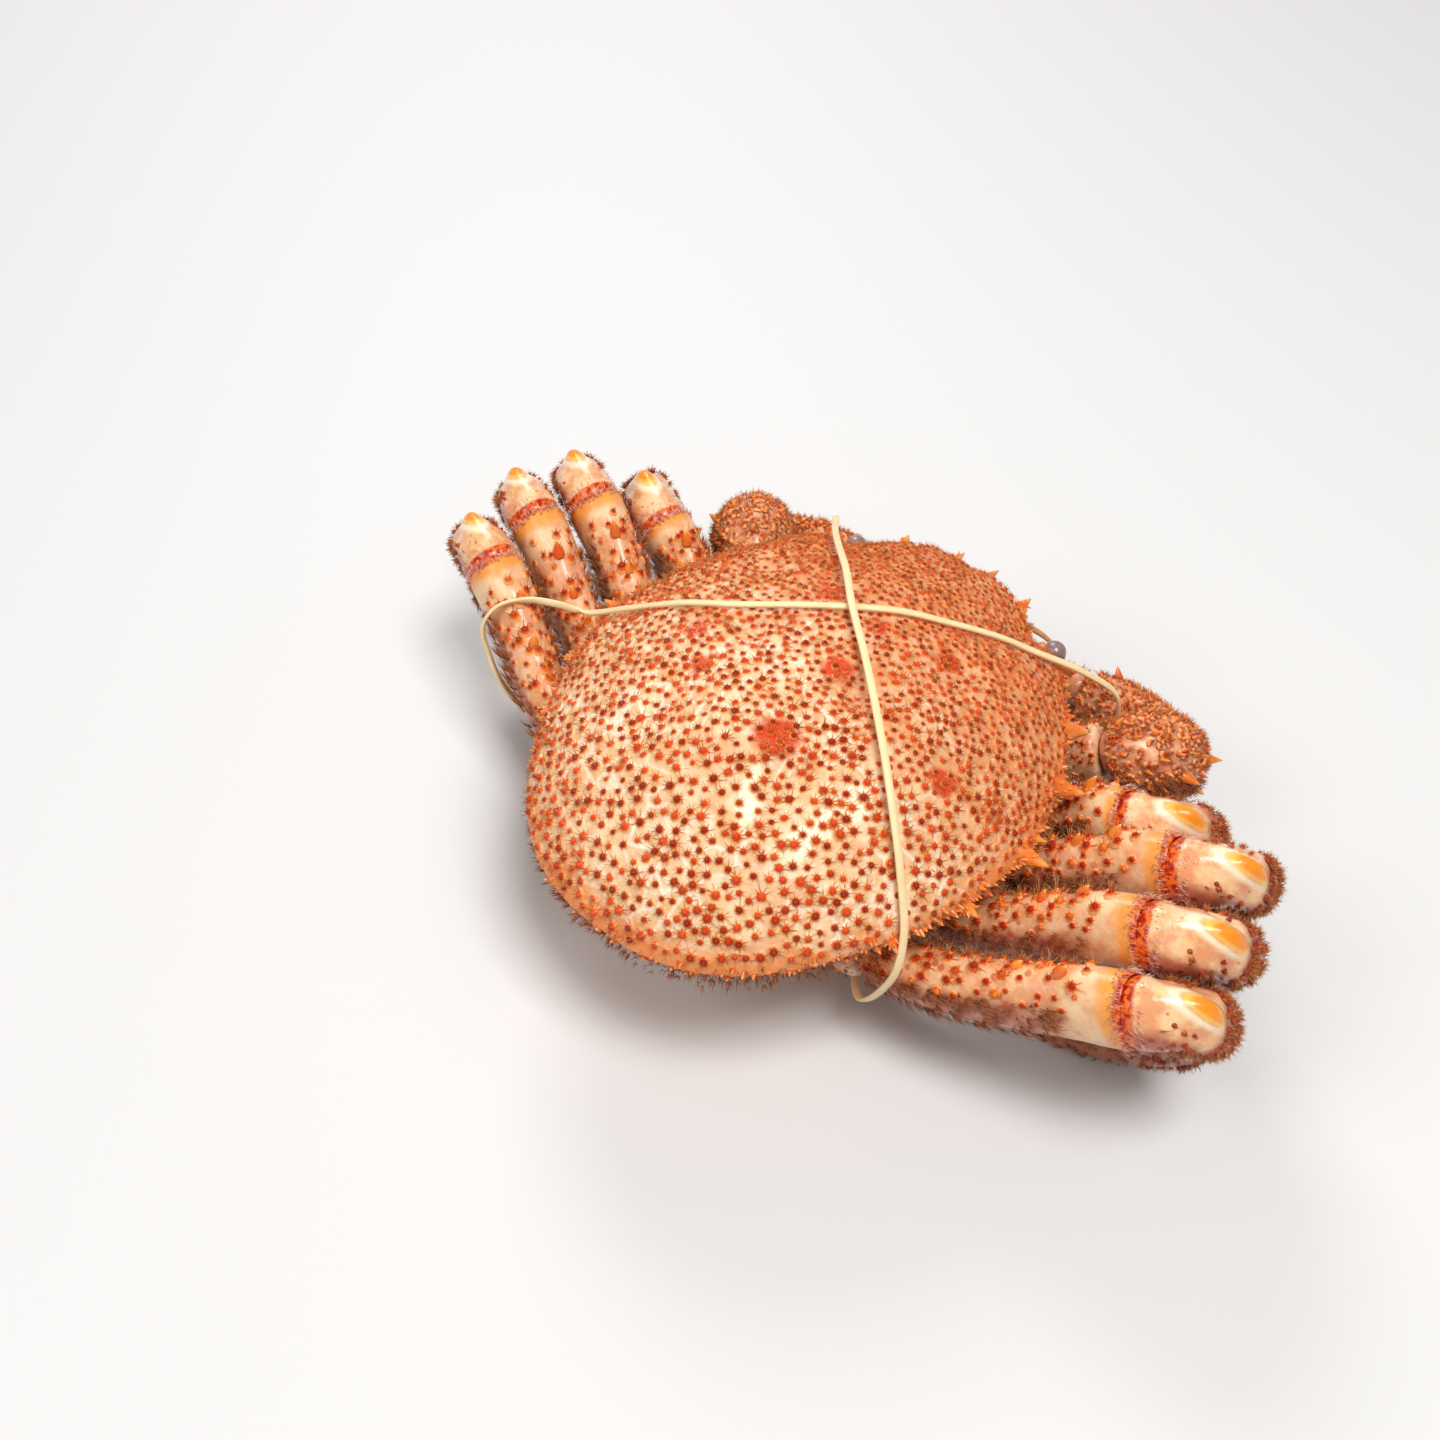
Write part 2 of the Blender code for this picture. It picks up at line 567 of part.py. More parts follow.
def limb_tufts(limb, shell, own, rules):
    """Tufts of a limb segment by its rules of place, height and lean."""
    shell.normal_update()

    def plan(face):
        if len(face.verts) != 4:
            return None
        place = face.calc_center_median()
        shares = (step / AXIS_STEPS for step in range(AXIS_STEPS + 1))
        share = min(shares, key=lambda at: (limb.centre(at) - place).length)
        along, across, depth = limb.frame(share)
        away = place - limb.centre(share)
        degrees = math.degrees(math.atan2(away.dot(depth), away.dot(across)))
        for (first, last), (low, high), height, lean, inset in rules:
            turn = (degrees - low) % 360.0
            if first <= share <= last and turn <= high - low:
                return face.normal * height + along * lean, inset
        return None

    raise_tufts(shell, own, plan)
    return shell


def mirrored(point, side):
    """The same point or direction on the left (1) or right (-1) side."""
    return Vector((point[0] * side, point[1], point[2]))


def plan_spot(turn, scale):
    """Plan point at an angle round the dome's centre, 1 being the margin."""
    way = Vector((math.sin(turn), -math.cos(turn)))
    centre = Vector(DOME_CENTRE)
    return centre + way * (scale / plan_scale(centre.x + way.x, centre.y + way.y))


def carapace_shell():
    """Back shell without teeth or tufts: a grid spread over the outline."""
    shell = bmesh.new()
    bmesh.ops.create_grid(shell, x_segments=DOME_CELLS, y_segments=DOME_CELLS, size=1.0)
    chance = random.Random(SEED)
    loose = GRID_WANDER * 2.0 / DOME_CELLS
    for vert in shell.verts:
        x, y = (at if abs(at) > DOME_EDGE else at + loose * chance.uniform(-1, 1) for at in vert.co.xy)
        y -= DOME_CROWDING * (1.0 - y * y)
        u, v = x * math.sqrt(1.0 - y * y / 2), y * math.sqrt(1.0 - x * x / 2)
        scale = min(math.hypot(u, v), 1.0)
        spot = plan_spot(math.atan2(u, -v), scale)
        vert.co = (spot.x, spot.y, dome_height(spot.x, spot.y, scale))
    for scale, lowest in ((FLANK_SCALE, False), (CARAPACE_FLOOR_SCALE, True)):
        rim = [edge for edge in shell.edges if edge.is_boundary]
        grown = bmesh.ops.extrude_edge_only(shell, edges=rim)["geom"]
        for vert in (item for item in grown if isinstance(item, bmesh.types.BMVert)):
            turn = math.atan2(vert.co.x - DOME_CENTRE[0], DOME_CENTRE[1] - vert.co.y)
            spot = plan_spot(turn, scale)
            height = CARAPACE_FLOOR if lowest else margin_height(plan_spot(turn, 1.0).y) - FLANK_DROP
            vert.co = (spot.x, spot.y, height)
    bmesh.ops.holes_fill(shell, edges=[edge for edge in shell.edges if edge.is_boundary])
    bmesh.ops.recalc_face_normals(shell, faces=shell.faces)
    return shell


def carapace_plan(face):
    """Where the back's tufts point: up and forward, and outward at the margin."""
    if len(face.verts) != 4 or face.normal.z < 0:
        return None
    place = face.calc_center_median()
    scales = [plan_scale(vert.co.x, vert.co.y) for vert in face.verts]
    if max(scales) > DOME_EDGE:
        away = (place.xy - Vector(DOME_CENTRE)).normalized()
        return Vector((*(away * MARGIN_TUFT_REACH), MARGIN_TUFT_RISE)), 0.0
    share = min(max((place.y - DOME_FACE_Y) / (DOME_REAR_Y - DOME_FACE_Y), 0.0), 1.0)
    height = DOME_TUFT_FRONT + (DOME_TUFT_REAR - DOME_TUFT_FRONT) * share
    return face.normal * height + Vector((0.0, DOME_TUFT_LEAN, 0.0)), 0.0


def margin_teeth():
    """The large teeth of the margin."""
    teeth = []
    centre = Vector(DOME_CENTRE)
    for tip, radius in TEETH:
        for side in (1, -1):
            peak = mirrored(tip, side)
            away = Vector((peak.x, peak.y)) - centre
            root = centre + away / plan_scale(peak.x, peak.y) * TOOTH_ROOT_SCALE
            base = Vector((root.x, root.y, margin_height(root.y) - TOOTH_ROOT_DROP))
            aim = peak - base
            teeth.append(spike(base, aim, aim.length, radius, sides=TOOTH_SIDES))
    return teeth


def make_carapace(cutters):
    """Domed back shell with its margin teeth and bristly tufts."""
    shell = carapace_shell()
    raise_tufts(shell, "carapace", carapace_plan)
    node("carapace", shell, "shell_top", SHELL_TOP, margin_teeth(), cutters)


def body_shell():
    """Underside of the body without its sockets."""
    centre = Vector(DOME_CENTRE)
    every = OUTLINE_STEPS // THORAX_STEPS
    return mesh_from_rings([
        [Vector((*(centre + (corner - centre) * scale), height)) for corner in PLAN[::every]]
        for scale, height in reversed(THORAX_RINGS)
    ])


def make_body():
    """Underside of the body with the sockets that the limbs grow from."""
    half_width, (front, back), (bottom, top) = MOUTH_FRAME
    frame = [[Vector((x, y, height)) for x, y in
              ((-half_width, front), (half_width, front), (half_width, back), (-half_width, back))]
             for height in (bottom, top)]
    added = [mesh_from_rings(frame)]
    for points in LEGS.values():
        side = 1 if points[0][0] > 0 else -1
        base = Vector(points[0])
        direction = mirrored(BASE_DIRECTION, side)
        socket = Limb(base - direction * LEG_SOCKET_LENGTH, direction, base - direction * JOINT_GAP, direction,
                      LEG_SOCKET_SIZES, LEG_SOCKET_RINGS, sides=SOCKET_SIDES)
        added.append(mesh_from_rings(socket.rings()))
    for side in (1, -1):
        start, direction = CLAW_POINTS["arm"][:2]
        out = mirrored(direction, side)
        base = mirrored(start, side)
        socket = Limb(base - out * CLAW_SOCKET_LENGTH, out, base - out * JOINT_GAP, out,
                      CLAW_SOCKET_SIZES, (0.0, 1.0), sides=SOCKET_SIDES)
        added.append(mesh_from_rings(socket.rings()))
    node("body_underside", body_shell(), "shell_under", SHELL_UNDER, added)


def leg_segments(points, trim=JOINT_GAP):
    """The four segments of a walking leg: part, limb, colour and tufts of each."""
    side = 1 if points[0][0] > 0 else -1
    base, knee, elbow, wrist, tip = (Vector(point) for point in points)
    heading = knee - base
    level = Vector((heading.x, heading.y, 0.0)).normalized()
    thickness_way = Vector((-level.y, level.x, 0.0)) * side
    base_way = mirrored(BASE_DIRECTION, side)
    knee_way = level * KNEE_DIRECTION[0] + Vector((0.0, 0.0, KNEE_DIRECTION[2]))
    drop = (wrist - elbow).normalized()
    elbow_way = (drop - Vector((0, 0, ELBOW_DROP))).normalized()
    wrist_way = (drop - Vector((0, 0, WRIST_DROP))).normalized()
    sweep = tip - wrist
    tip_way = Vector((sweep.x, sweep.y, 0.0)).normalized() - Vector((0, 0, TIP_DROP))
    corners = ((base, base_way), (knee, knee_way), (elbow, elbow_way), (wrist, wrist_way), (tip, tip_way))
    kinds = (
        ("merus", MERUS_SIZES, MERUS_RINGS, LEG_SIDES, LEG_UPPER, MERUS_TUFTS),
        ("carpus", CARPUS_SIZES, CARPUS_RINGS, CARPUS_SIDES, LEG_JOINT, CARPUS_TUFTS),
        ("propodus", PROPODUS_SIZES, PROPODUS_RINGS, LEG_SIDES, LEG_LOWER, PROPODUS_TUFTS),
        ("dactylus", DACTYLUS_SIZES, DACTYLUS_RINGS, TIP_SIDES, LEG_CLAW, DACTYLUS_TUFTS),
    )
    segments = []
    for (a, a_way), (b, b_way), kind, bulge in zip(corners, corners[1:], kinds, LEG_BULGES):
        part, sizes, rings, sides, colour, tufts = kind
        limb = Limb(a, a_way, b, b_way, sizes, rings, thickness_way, sides, trim, bulge, side)
        limb.wander = GRID_WANDER if trim > 0 and part != "carpus" else 0.0
        segments.append((part, limb, colour, tufts))
    return segments


def make_leg(name, points):
    """One walking leg: merus, carpus, propodus and dactylus."""
    before = None
    rooms = leg_segments(points, -JOINT_GAP)
    for (part, limb, colour, tufts), (_, room, _, _) in zip(leg_segments(points), rooms):
        own = name + "_" + part
        shell = limb_tufts(limb, base_shell(limb, part == "dactylus"), own, tufts)
        node(own, shell, "leg_" + part, colour, (), [before] if before else [])
        before = mesh_from_rings(room.rings(JOINT_GAP))


def claw_segments(side):
    """The segments of a claw leg: part, limb, colour and tufts of each."""
    kinds = (
        ("arm", ARM_SIZES, ARM_RINGS, LEG_SIDES, CLAW_SHELL, ARM_TUFTS),
        ("wrist", WRIST_SIZES, WRIST_RINGS, CLAW_SIDES, CLAW_SHELL, WRIST_TUFTS),
        ("hand", HAND_SIZES, HAND_RINGS, CLAW_SIDES, CLAW_SHELL, HAND_TUFTS),
        ("finger", FINGER_SIZES, FINGER_RINGS, TIP_SIDES, FINGER_SHELL, FINGER_TUFTS),
    )
    segments = []
    for part, sizes, rings, sides, colour, tufts in kinds:
        start, start_way, end, end_way = (mirrored(point, side) for point in CLAW_POINTS[part])
        axis = end - start
        level = Vector((-axis.y, axis.x, 0.0)) * side
        limb = Limb(start, start_way, end, end_way, sizes, rings, level, sides, hand=side)
        limb.wander = GRID_WANDER
        segments.append((part, limb, colour, tufts))
    return segments


def fixed_finger(side):
    """The finger that is one with the hand."""
    a, a_way, b, b_way = (mirrored(point, side) for point in FIXED_FINGER)
    axis = b - a
    level = Vector((-axis.y, axis.x, 0.0)) * side
    return Limb(a, a_way, b, b_way, FIXED_FINGER_SIZES, FINGER_RINGS, level, TIP_SIDES)


def make_claw(side):
    """One claw leg: arm, wrist, hand with its fixed finger, and free finger."""
    for part, limb, colour, tufts in claw_segments(side):
        own = "%s_claw_%s" % (SIDE_NAMES[side], part)
        shell = limb_tufts(limb, base_shell(limb, part == "finger"), own, tufts)
        added = [base_shell(fixed_finger(side), True)] if part == "hand" else []
        node(own, shell, "claw_" + part, colour, added)


def eye_shells(side, grow):
    """Ball and stalk of an eye, fattened by a margin."""
    centre = mirrored(EYE_CENTRE, side)
    root = mirrored(STALK_ROOT, side)
    way = (centre - root).normalized()
    ball = bmesh.new()
    bmesh.ops.create_uvsphere(ball, u_segments=EYE_SEGMENTS, v_segments=EYE_ROWS, radius=EYE_RADIUS + grow)
    bmesh.ops.translate(ball, verts=ball.verts, vec=centre)
    radius = STALK_RADIUS + grow
    stalk = Limb(root - way * grow, way, centre, way, ((0.0, radius, radius), (1.0, radius, radius)),
                 (0.0, 1.0), sides=STALK_SIDES, trim=0.0)
    return ball, mesh_from_rings(stalk.rings())


def make_face():
    """Eyes, antennae and mouth plates."""
    for side, prefix in SIDE_NAMES.items():
        ball, stalk = eye_shells(side, 0.0)
        node(prefix + "_eye", ball, "eye", EYE_SHELL, [stalk])
        start, start_way, end, end_way = (mirrored(point, side) for point in ANTENNA)
        feeler = Limb(start, start_way, end, end_way, ANTENNA_SIZES, ANTENNA_RINGS, sides=TIP_SIDES)
        node(prefix + "_antenna", mesh_from_rings(feeler.rings(), feeler.centre(1.0)), "feeler", FEELER_SHELL)
        start, start_way, end, end_way = (mirrored(point, side) for point in MOUTH_PLATE)
        plate = Limb(start, start_way, end, end_way, MOUTH_SIZES, MOUTH_RINGS, (1.0, 0.0, 0.0))
        node(prefix + "_mouth_plate", mesh_from_rings(plate.rings()), "mouth_plate", MOUTH_SHELL)


def make_flap():
    """Tail flap folded flat under the body."""
    points = [Vector(point) for point in FLAP_POINTS]
    rings = []
    for index, (place, width) in enumerate(zip(points, FLAP_WIDTHS)):
        before = points[max(index - 1, 0)]
        after = points[min(index + 1, len(points) - 1)]
        along = (after - before).normalized()
        out = along.cross(Vector((1, 0, 0))).normalized()
        thick = FLAP_HALF_THICKNESS
        rings.append([
            place + Vector((1, 0, 0)) * width * across + out * thick * up
            for across, up in FLAP_SECTION
        ])
    node("abdomen_flap", mesh_from_rings(rings), "shell_flap", SHELL_UNDER)


def band_curve(route, lift):
    """Even points along a band's closed route."""
    spots = []
    for x, y, height in route:
        z = dome_height(x, y) + lift if height is None else height
        spots.append(Vector((x, y, z)))
    return smooth_closed(spots, BAND_STEPS)


def band_rings(route, lift, grow=0.0):
    """Sections of a flat band along its closed route."""
    curve = band_curve(route, lift)
    inside = sum(curve, Vector((0, 0, 0))) / len(curve)
    rings = []
    for index, place in enumerate(curve):
        along = (curve[(index + 1) % BAND_STEPS] - curve[index - 1]).normalized()
        out = (place - inside)
        out = (out - along * out.dot(along)).normalized()
        across = along.cross(out)
        wide = BAND_HALF_WIDTH + grow
        thick = BAND_HALF_THICKNESS + grow
        rings.append([place + across * wide * a + out * thick * b
                      for a, b in BAND_SECTION])
    return rings


def closed_band(rings):
    """Closed ring-shaped mesh through the band's sections."""
    shell = bmesh.new()
    loops = [[shell.verts.new(point) for point in ring] for ring in rings]
    for index, loop in enumerate(loops):
        following = loops[(index + 1) % len(loops)]
        for corner in range(len(loop)):
            other = (corner + 1) % len(loop)
            shell.faces.new((loop[corner], loop[other], following[other], following[corner]))
    bmesh.ops.recalc_face_normals(shell, faces=shell.faces)
    return shell


def all_band_rings(grow):
    """Sections of both bands, fattened by a margin."""
    lifts = (BAND_LIFT, BAND_LIFT + CROSS_BAND_EXTRA_LIFT)
    return [band_rings(route, lift, grow) for route, lift in zip((BAND_LONG, BAND_CROSS), lifts)]


def make_bands():
    """Two rubber bands crossing over the carapace."""
    long_rings, cross_rings = all_band_rings(0.0)
    node("rubber_band_long", closed_band(long_rings), "band_rubber", BAND_RUBBER)
    node("rubber_band_cross", closed_band(cross_rings), "band_rubber_cross", BAND_RUBBER)


def find_neighbours():
    """Surfaces that tufts keep clear of, and the part of the gap that a tuft may fill."""
    trees = {}

    def keep(name, shell, share=ROOM_BY_BRISTLY):
        trees[name] = (BVHTree.FromBMesh(shell), share)
        shell.free()

    keep("carapace", carapace_shell())
    for index, tooth in enumerate(margin_teeth()):
        keep("tooth_%02d" % index, tooth, ROOM_BY_PLAIN)
    keep("body_underside", body_shell(), ROOM_BY_PLAIN)
    for name, points in LEGS.items():
        for part, limb, _, _ in leg_segments(points):
            keep(name + "_" + part, base_shell(limb, part == "dactylus"))
    for side, prefix in SIDE_NAMES.items():
        for part, limb, _, _ in claw_segments(side):
            keep("%s_claw_%s" % (prefix, part), base_shell(limb, part == "finger"))
        keep(prefix + "_fixed_finger", base_shell(fixed_finger(side), True))
        for index, shell in enumerate(eye_shells(side, 0.0)):
            keep("%s_eye_%d" % (prefix, index), shell, ROOM_BY_PLAIN)
    for index, rings in enumerate(all_band_rings(0.0)):
        keep("band_%d" % index, closed_band(rings), ROOM_BY_PLAIN)
    return trees


for old in list(bpy.data.objects):
    bpy.data.objects.remove(old)
RANDOM = random.Random(SEED)
CRAB = bpy.data.collections.new("horsehair_crab")
bpy.context.scene.collection.children.link(CRAB)
NEIGHBOURS = find_neighbours()

carapace_cutters = [shell for side in (1, -1) for shell in eye_shells(side, SOCKET_RADIUS - EYE_RADIUS)]
carapace_cutters += [closed_band(rings) for rings in all_band_rings(JOINT_GAP)]
make_carapace(carapace_cutters)
make_body()
for leg_name, leg_points in LEGS.items():
    make_leg(leg_name, leg_points)
for claw_side in SIDE_NAMES:
    make_claw(claw_side)
make_face()
make_flap()
make_bands()
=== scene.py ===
"""Boiled horsehair crab, legs folded in, bundled with two crossing rubber bands."""
import collections
import itertools
import math
import random

import bmesh
import bpy
import numpy as np
from mathutils import Matrix, Vector

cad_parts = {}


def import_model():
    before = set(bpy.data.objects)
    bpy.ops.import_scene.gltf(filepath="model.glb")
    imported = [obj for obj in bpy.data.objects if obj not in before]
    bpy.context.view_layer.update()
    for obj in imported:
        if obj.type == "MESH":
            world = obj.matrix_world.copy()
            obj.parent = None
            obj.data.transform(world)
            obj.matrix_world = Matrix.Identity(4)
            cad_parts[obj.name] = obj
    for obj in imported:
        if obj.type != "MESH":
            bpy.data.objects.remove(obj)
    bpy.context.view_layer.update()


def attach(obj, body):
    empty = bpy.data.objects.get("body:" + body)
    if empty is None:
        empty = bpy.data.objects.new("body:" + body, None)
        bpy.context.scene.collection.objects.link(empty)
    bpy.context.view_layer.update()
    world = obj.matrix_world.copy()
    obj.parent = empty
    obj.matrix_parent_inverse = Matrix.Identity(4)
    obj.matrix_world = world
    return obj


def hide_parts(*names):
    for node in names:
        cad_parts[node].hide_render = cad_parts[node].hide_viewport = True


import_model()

MM = 0.001
RANDOM = random.Random(5)
DARTS = np.random.default_rng(5)
SIDES = (("left", 1), ("right", -1))
draw = RANDOM.uniform

# The whole is moved by this much so that its box is centred on the origin.
CENTRE_SHIFT = np.array((0.4, 6.5, 0.0))

# Carapace outline inside the teeth, from the front middle to the rear middle.
OUTLINE = (
    (0.0, -50.0), (7.5, -50.0), (14.0, -46.5), (20.0, -41.5), (27.0, -39.5),
    (34.5, -30.0), (40.5, -19.0), (44.5, -3.0), (42.5, 12.0), (37.5, 25.0),
    (29.5, 38.0), (19.0, 47.5), (8.0, 51.5), (0.0, 52.0),
)
OUTLINE_STEPS = 512
DOME_CENTRE = np.array((0.0, 5.0))
MARGIN_HEIGHT = 36.0
MARGIN_FRONT_RISE = 2.0
MARGIN_REAR_DROP = 2.5
DOME_RISE = 19.2
DOME_POWER = 2.05
DOME_ROUND = 0.74

# Swellings and furrows of the dome: x, y, spread in x, spread in y, height.
REGIONS = (
    (0.0, -20.0, 13.0, 13.0, 1.1), (24.0, 6.0, 11.0, 15.0, 1.2),
    (0.0, 22.0, 8.0, 10.0, 1.4), (29.0, -24.0, 7.0, 7.0, 1.0),
    (11.0, 1.0, 4.0, 4.5, -1.6), (13.0, 21.0, 3.5, 9.0, -1.3),
    (20.0, -14.0, 5.0, 4.0, -1.0), (0.0, 41.0, 14.0, 3.5, -0.8),
)

# Margin teeth: tip place, root radius; each has a mirror image.
TEETH = (
    ((3.9, -55.0, 36.5), 2.4), ((13.8, -50.2, 38.8), 2.9),
    ((29.6, -43.6, 36.4), 3.3), ((38.6, -31.6, 35.8), 3.3),
    ((45.3, -19.4, 35.2), 3.2), ((49.0, -2.1, 35.8), 3.0),
    ((45.4, 13.0, 34.8), 2.4), ((39.4, 26.4, 34.2), 1.8),
)

# Bright red patches of the back: x, y, radius.
RED_PATCHES = (
    (-6.0, -0.5, 3.0), (-16.7, -17.0, 2.6), (-5.5, -13.3, 1.9), (6.5, -15.0, 2.8),
    (18.8, 6.0, 2.6), (-7.2, 17.0, 4.2), (-30.6, 4.0, 2.4), (13.0, 12.0, 2.2),
)

# Legs: base, knee, elbow, wrist and tip of each, in the pose of the photo.
LEGS = {
    "left_leg_1": ((30, -21, 18), (57.5, -28.5, 31), (66, -36.0, 25), (56, -38.0, 9), (31, -34, 1.3)),
    "left_leg_2": ((31, -6.5, 18), (68.5, -20.3, 36.5), (76.5, -26.5, 29), (66, -28, 9), (42, -22, 1.3)),
    "left_leg_3": ((31, 6, 18), (73.0, -8.6, 37.5), (80.5, -14.2, 30), (71, -14, 9), (46, -8, 1.3)),
    "left_leg_4": ((30, 20, 18), (69.5, 6.2, 38), (77.5, 1.6, 31), (70, 0, 9), (47, 6, 1.3)),
    "right_leg_1": ((-30, -21, 18), (-53.2, -22.5, 30.5), (-60.5, -30, 25.5), (-50.5, -36, 9), (-31, -33, 1.3)),
    "right_leg_2": ((-31, -8, 18), (-66.6, -12.3, 39), (-73, -21.5, 31.5), (-64.5, -26, 9), (-42, -22, 1.3)),
    "right_leg_3": ((-31, 6, 18), (-69.7, 2.0, 40), (-77.5, -7.5, 31.5), (-68.5, -13, 9), (-46, -9, 1.3)),
    "right_leg_4": ((-30, 20, 18), (-74, 13.0, 36.5), (-80.5, 5.0, 29.5), (-71.5, 1, 9), (-48, 5, 1.3)),
}
MERUS_SIZES = ((0.0, 4.0, 4.6), (0.35, 4.6, 5.9), (0.8, 5.0, 6.6), (0.9, 5.5, 7.2), (1.0, 5.3, 6.7))
CARPUS_SIZES = ((0.0, 4.7, 5.6), (0.3, 5.2, 6.3), (0.7, 5.0, 6.0), (1.0, 4.4, 5.4))
PROPODUS_SIZES = ((0.0, 4.1, 5.0), (0.4, 4.5, 5.9), (0.8, 3.6, 4.6), (1.0, 3.1, 3.6))
DACTYLUS_SIZES = ((0.0, 2.6, 3.2), (0.4, 2.4, 3.0), (0.8, 1.5, 1.7), (0.95, 0.8, 0.8), (1.0, 0.3, 0.3))
KNEE_DIRECTION = (0.90, 0.0, 0.44)
BASE_DIRECTION = (0.97, 0.0, 0.22)
ELBOW_DROP = 0.35
WRIST_DROP = 0.10
TIP_DROP = 0.12
# Where along the carpus its orange knob lies.
KNOB_SHARE = 0.44

# Claw legs, left side; the right one is its mirror image.
CLAW_POINTS = {
    "arm": ((23, -33, 19), (0.9, -0.1, 0.2), (39.5, -37.5, 26), (0.85, -0.3, 0.4)),
    "wrist": ((40, -37.7, 26.2), (0.85, -0.3, 0.4), (47.0, -49.0, 19.5), (-0.35, -0.75, -0.6)),
    "hand": ((46.8, -49.5, 19.1), (-0.42, -0.72, -0.55), (25, -58.5, 11.5), (-0.95, -0.15, -0.2)),
    "finger": ((24.1, -58.6, 14.6), (-0.95, -0.15, -0.2), (6.0, -57.5, 8.6), (-0.8, 0.3, -0.5)),
}
ARM_SIZES = ((0.0, 4.2, 4.6), (0.6, 4.8, 5.6), (1.0, 4.6, 5.4))
WRIST_SIZES = ((0.0, 4.6, 5.2), (0.35, 7.6, 8.0), (0.7, 8.0, 8.6), (1.0, 5.4, 6.6))
HAND_SIZES = ((0.0, 4.8, 5.8), (0.35, 6.0, 8.2), (0.75, 5.8, 8.0), (1.0, 5.0, 6.6))
FINGER_SIZES = ((0.0, 3.4, 3.2), (0.5, 2.6, 2.6), (0.95, 0.9, 0.9), (1.0, 0.3, 0.3))
FIXED_FINGER = ((28, -58.3, 7.2), (-0.95, -0.1, -0.20), (6.0, -56.5, 4.4), (-0.85, 0.35, 0.2))
FIXED_FINGER_SIZES = ((0.0, 4.4, 3.6), (0.5, 2.9, 2.6), (0.95, 0.9, 0.9), (1.0, 0.3, 0.3))

# Eyes, antennae and mouth plates, left side.
EYE_CENTRE = (22.5, -45.5, 34.0)
EYE_RADIUS = 2.15
STALK_ROOT = (16.5, -41.5, 32.0)
ANTENNA = ((11.5, -48.6, 31.5), (0.3, -0.9, -0.3), (21.5, -54.0, 23.5), (0.8, 0.2, -0.7))
ANTENNA_SIZES = ((0.0, 1.35, 1.35), (0.16, 1.2, 1.2), (0.22, 0.75, 0.75), (0.6, 0.5, 0.5), (1.0, 0.25, 0.25))
ANTENNULE = ((3.6, -40.8, 25.6), (0.1, -1.0, 0.0), (2.0, -52.0, 28.6), (-0.3, -0.3, 0.9))
ANTENNULE_SIZES = ((0.0, 1.3, 1.3), (0.4, 1.1, 1.1), (0.5, 0.7, 0.7), (0.8, 0.55, 0.55), (1.0, 0.2, 0.2))
MOUTH_PLATE = ((5.4, -43.6, 26.0), (0.0, -0.1, -1.0), (5.0, -44.4, 11.5), (0.0, 0.2, -1.0))
MOUTH_SIZES = ((0.0, 3.4, 1.3), (0.3, 4.8, 1.7), (0.8, 4.4, 1.6), (1.0, 3.0, 1.1))

# Rubber bands: closed routes. A height of None rides on the carapace.
BAND_HALF_WIDTH = 0.65
BAND_HALF_THICKNESS = 0.30
BAND_LIFT = 1.3
CROSS_BAND_LIFT = 3.0
BAND_STEPS = 360
BAND_LONG = (
    (0.5, -12.6, None), (7.5, -7.6, None), (16.0, -1.9, None), (25.0, 2.6, None), (36.5, 4.2, None),
    (46.3, 4.4, 38.8), (51.5, 7.2, 39.8), (56.0, 10.4, 40.5), (59.5, 14.4, 39.8), (61.2, 17.2, 36.0),
    (60.6, 17.6, 30.0), (57.0, 17.6, 22.0), (50.0, 14.4, 13.5), (38.0, 7.0, 8.6), (5.0, -12.0, 6.6),
    (-25.0, -31.0, 7.8), (-34.5, -43.6, 12.0), (-36.6, -46.5, 22.0), (-36.0, -45.6, 31.5),
    (-31.0, -40.4, 38.6), (-24.6, -34.4, None), (-19.0, -29.8, None), (-12.1, -24.0, None),
    (-5.9, -18.2, None),
)
BAND_CROSS = (
    (-0.5, -11.4, None), (-8.6, -4.0, None), (-16.3, 3.5, None), (-23.3, 10.2, None),
    (-29.0, 15.4, None), (-33.9, 19.8, None), (-38.8, 24.4, 37.0), (-39.0, 27.0, 27.5),
    (-32.0, 25.0, 13.5), (-20.0, 10.0, 8.6), (0.0, -12.0, 8.3), (20.0, -36.0, 9.2),
    (28.0, -46.4, 14.0), (30.4, -49.6, 26.0), (29.8, -48.4, 35.0), (25.4, -42.2, 40.8),
    (20.5, -35.2, None), (14.9, -28.4, None), (6.8, -19.5, None),
)

# Camera, fitted to the margin teeth in the photograph.
CAMERA_PLACE = (-113.83, 156.93, 253.68)
CAMERA_YAW = 3.84384
CAMERA_PITCH = 0.83839
CAMERA_ROLL = -0.0076
CAMERA_LENS = 42.0
CAMERA_SENSOR = 36.0


def world(place):
    """A place in millimetres round the carapace, as metres in the frame."""
    return (np.asarray(place, dtype=float) + CENTRE_SHIFT) * MM


def unit(rows):
    """The same directions with a length of 1."""
    return rows / np.linalg.norm(rows, axis=-1, keepdims=True)


def way_of(turn):
    """The way on the plan from the dome's centre at an angle, zero at the face; works on arrays too."""
    return np.stack((np.sin(turn), -np.cos(turn)), axis=-1)


def smooth_closed(points, steps):
    """Even points along a closed Catmull-Rom curve through the given ones."""
    ring = np.array(points, dtype=float)
    count = len(ring)
    place = np.arange(steps) * count / steps
    index = place.astype(int)
    mix = (place - index)[:, None]
    a, b, c, d = (ring[(index + offset) % count] for offset in (-1, 0, 1, 2))
    return 0.5 * (2 * b + (c - a) * mix + (2 * a - 5 * b + 4 * c - d) * mix ** 2
                  + (3 * b - a - 3 * c + d) * mix ** 3)


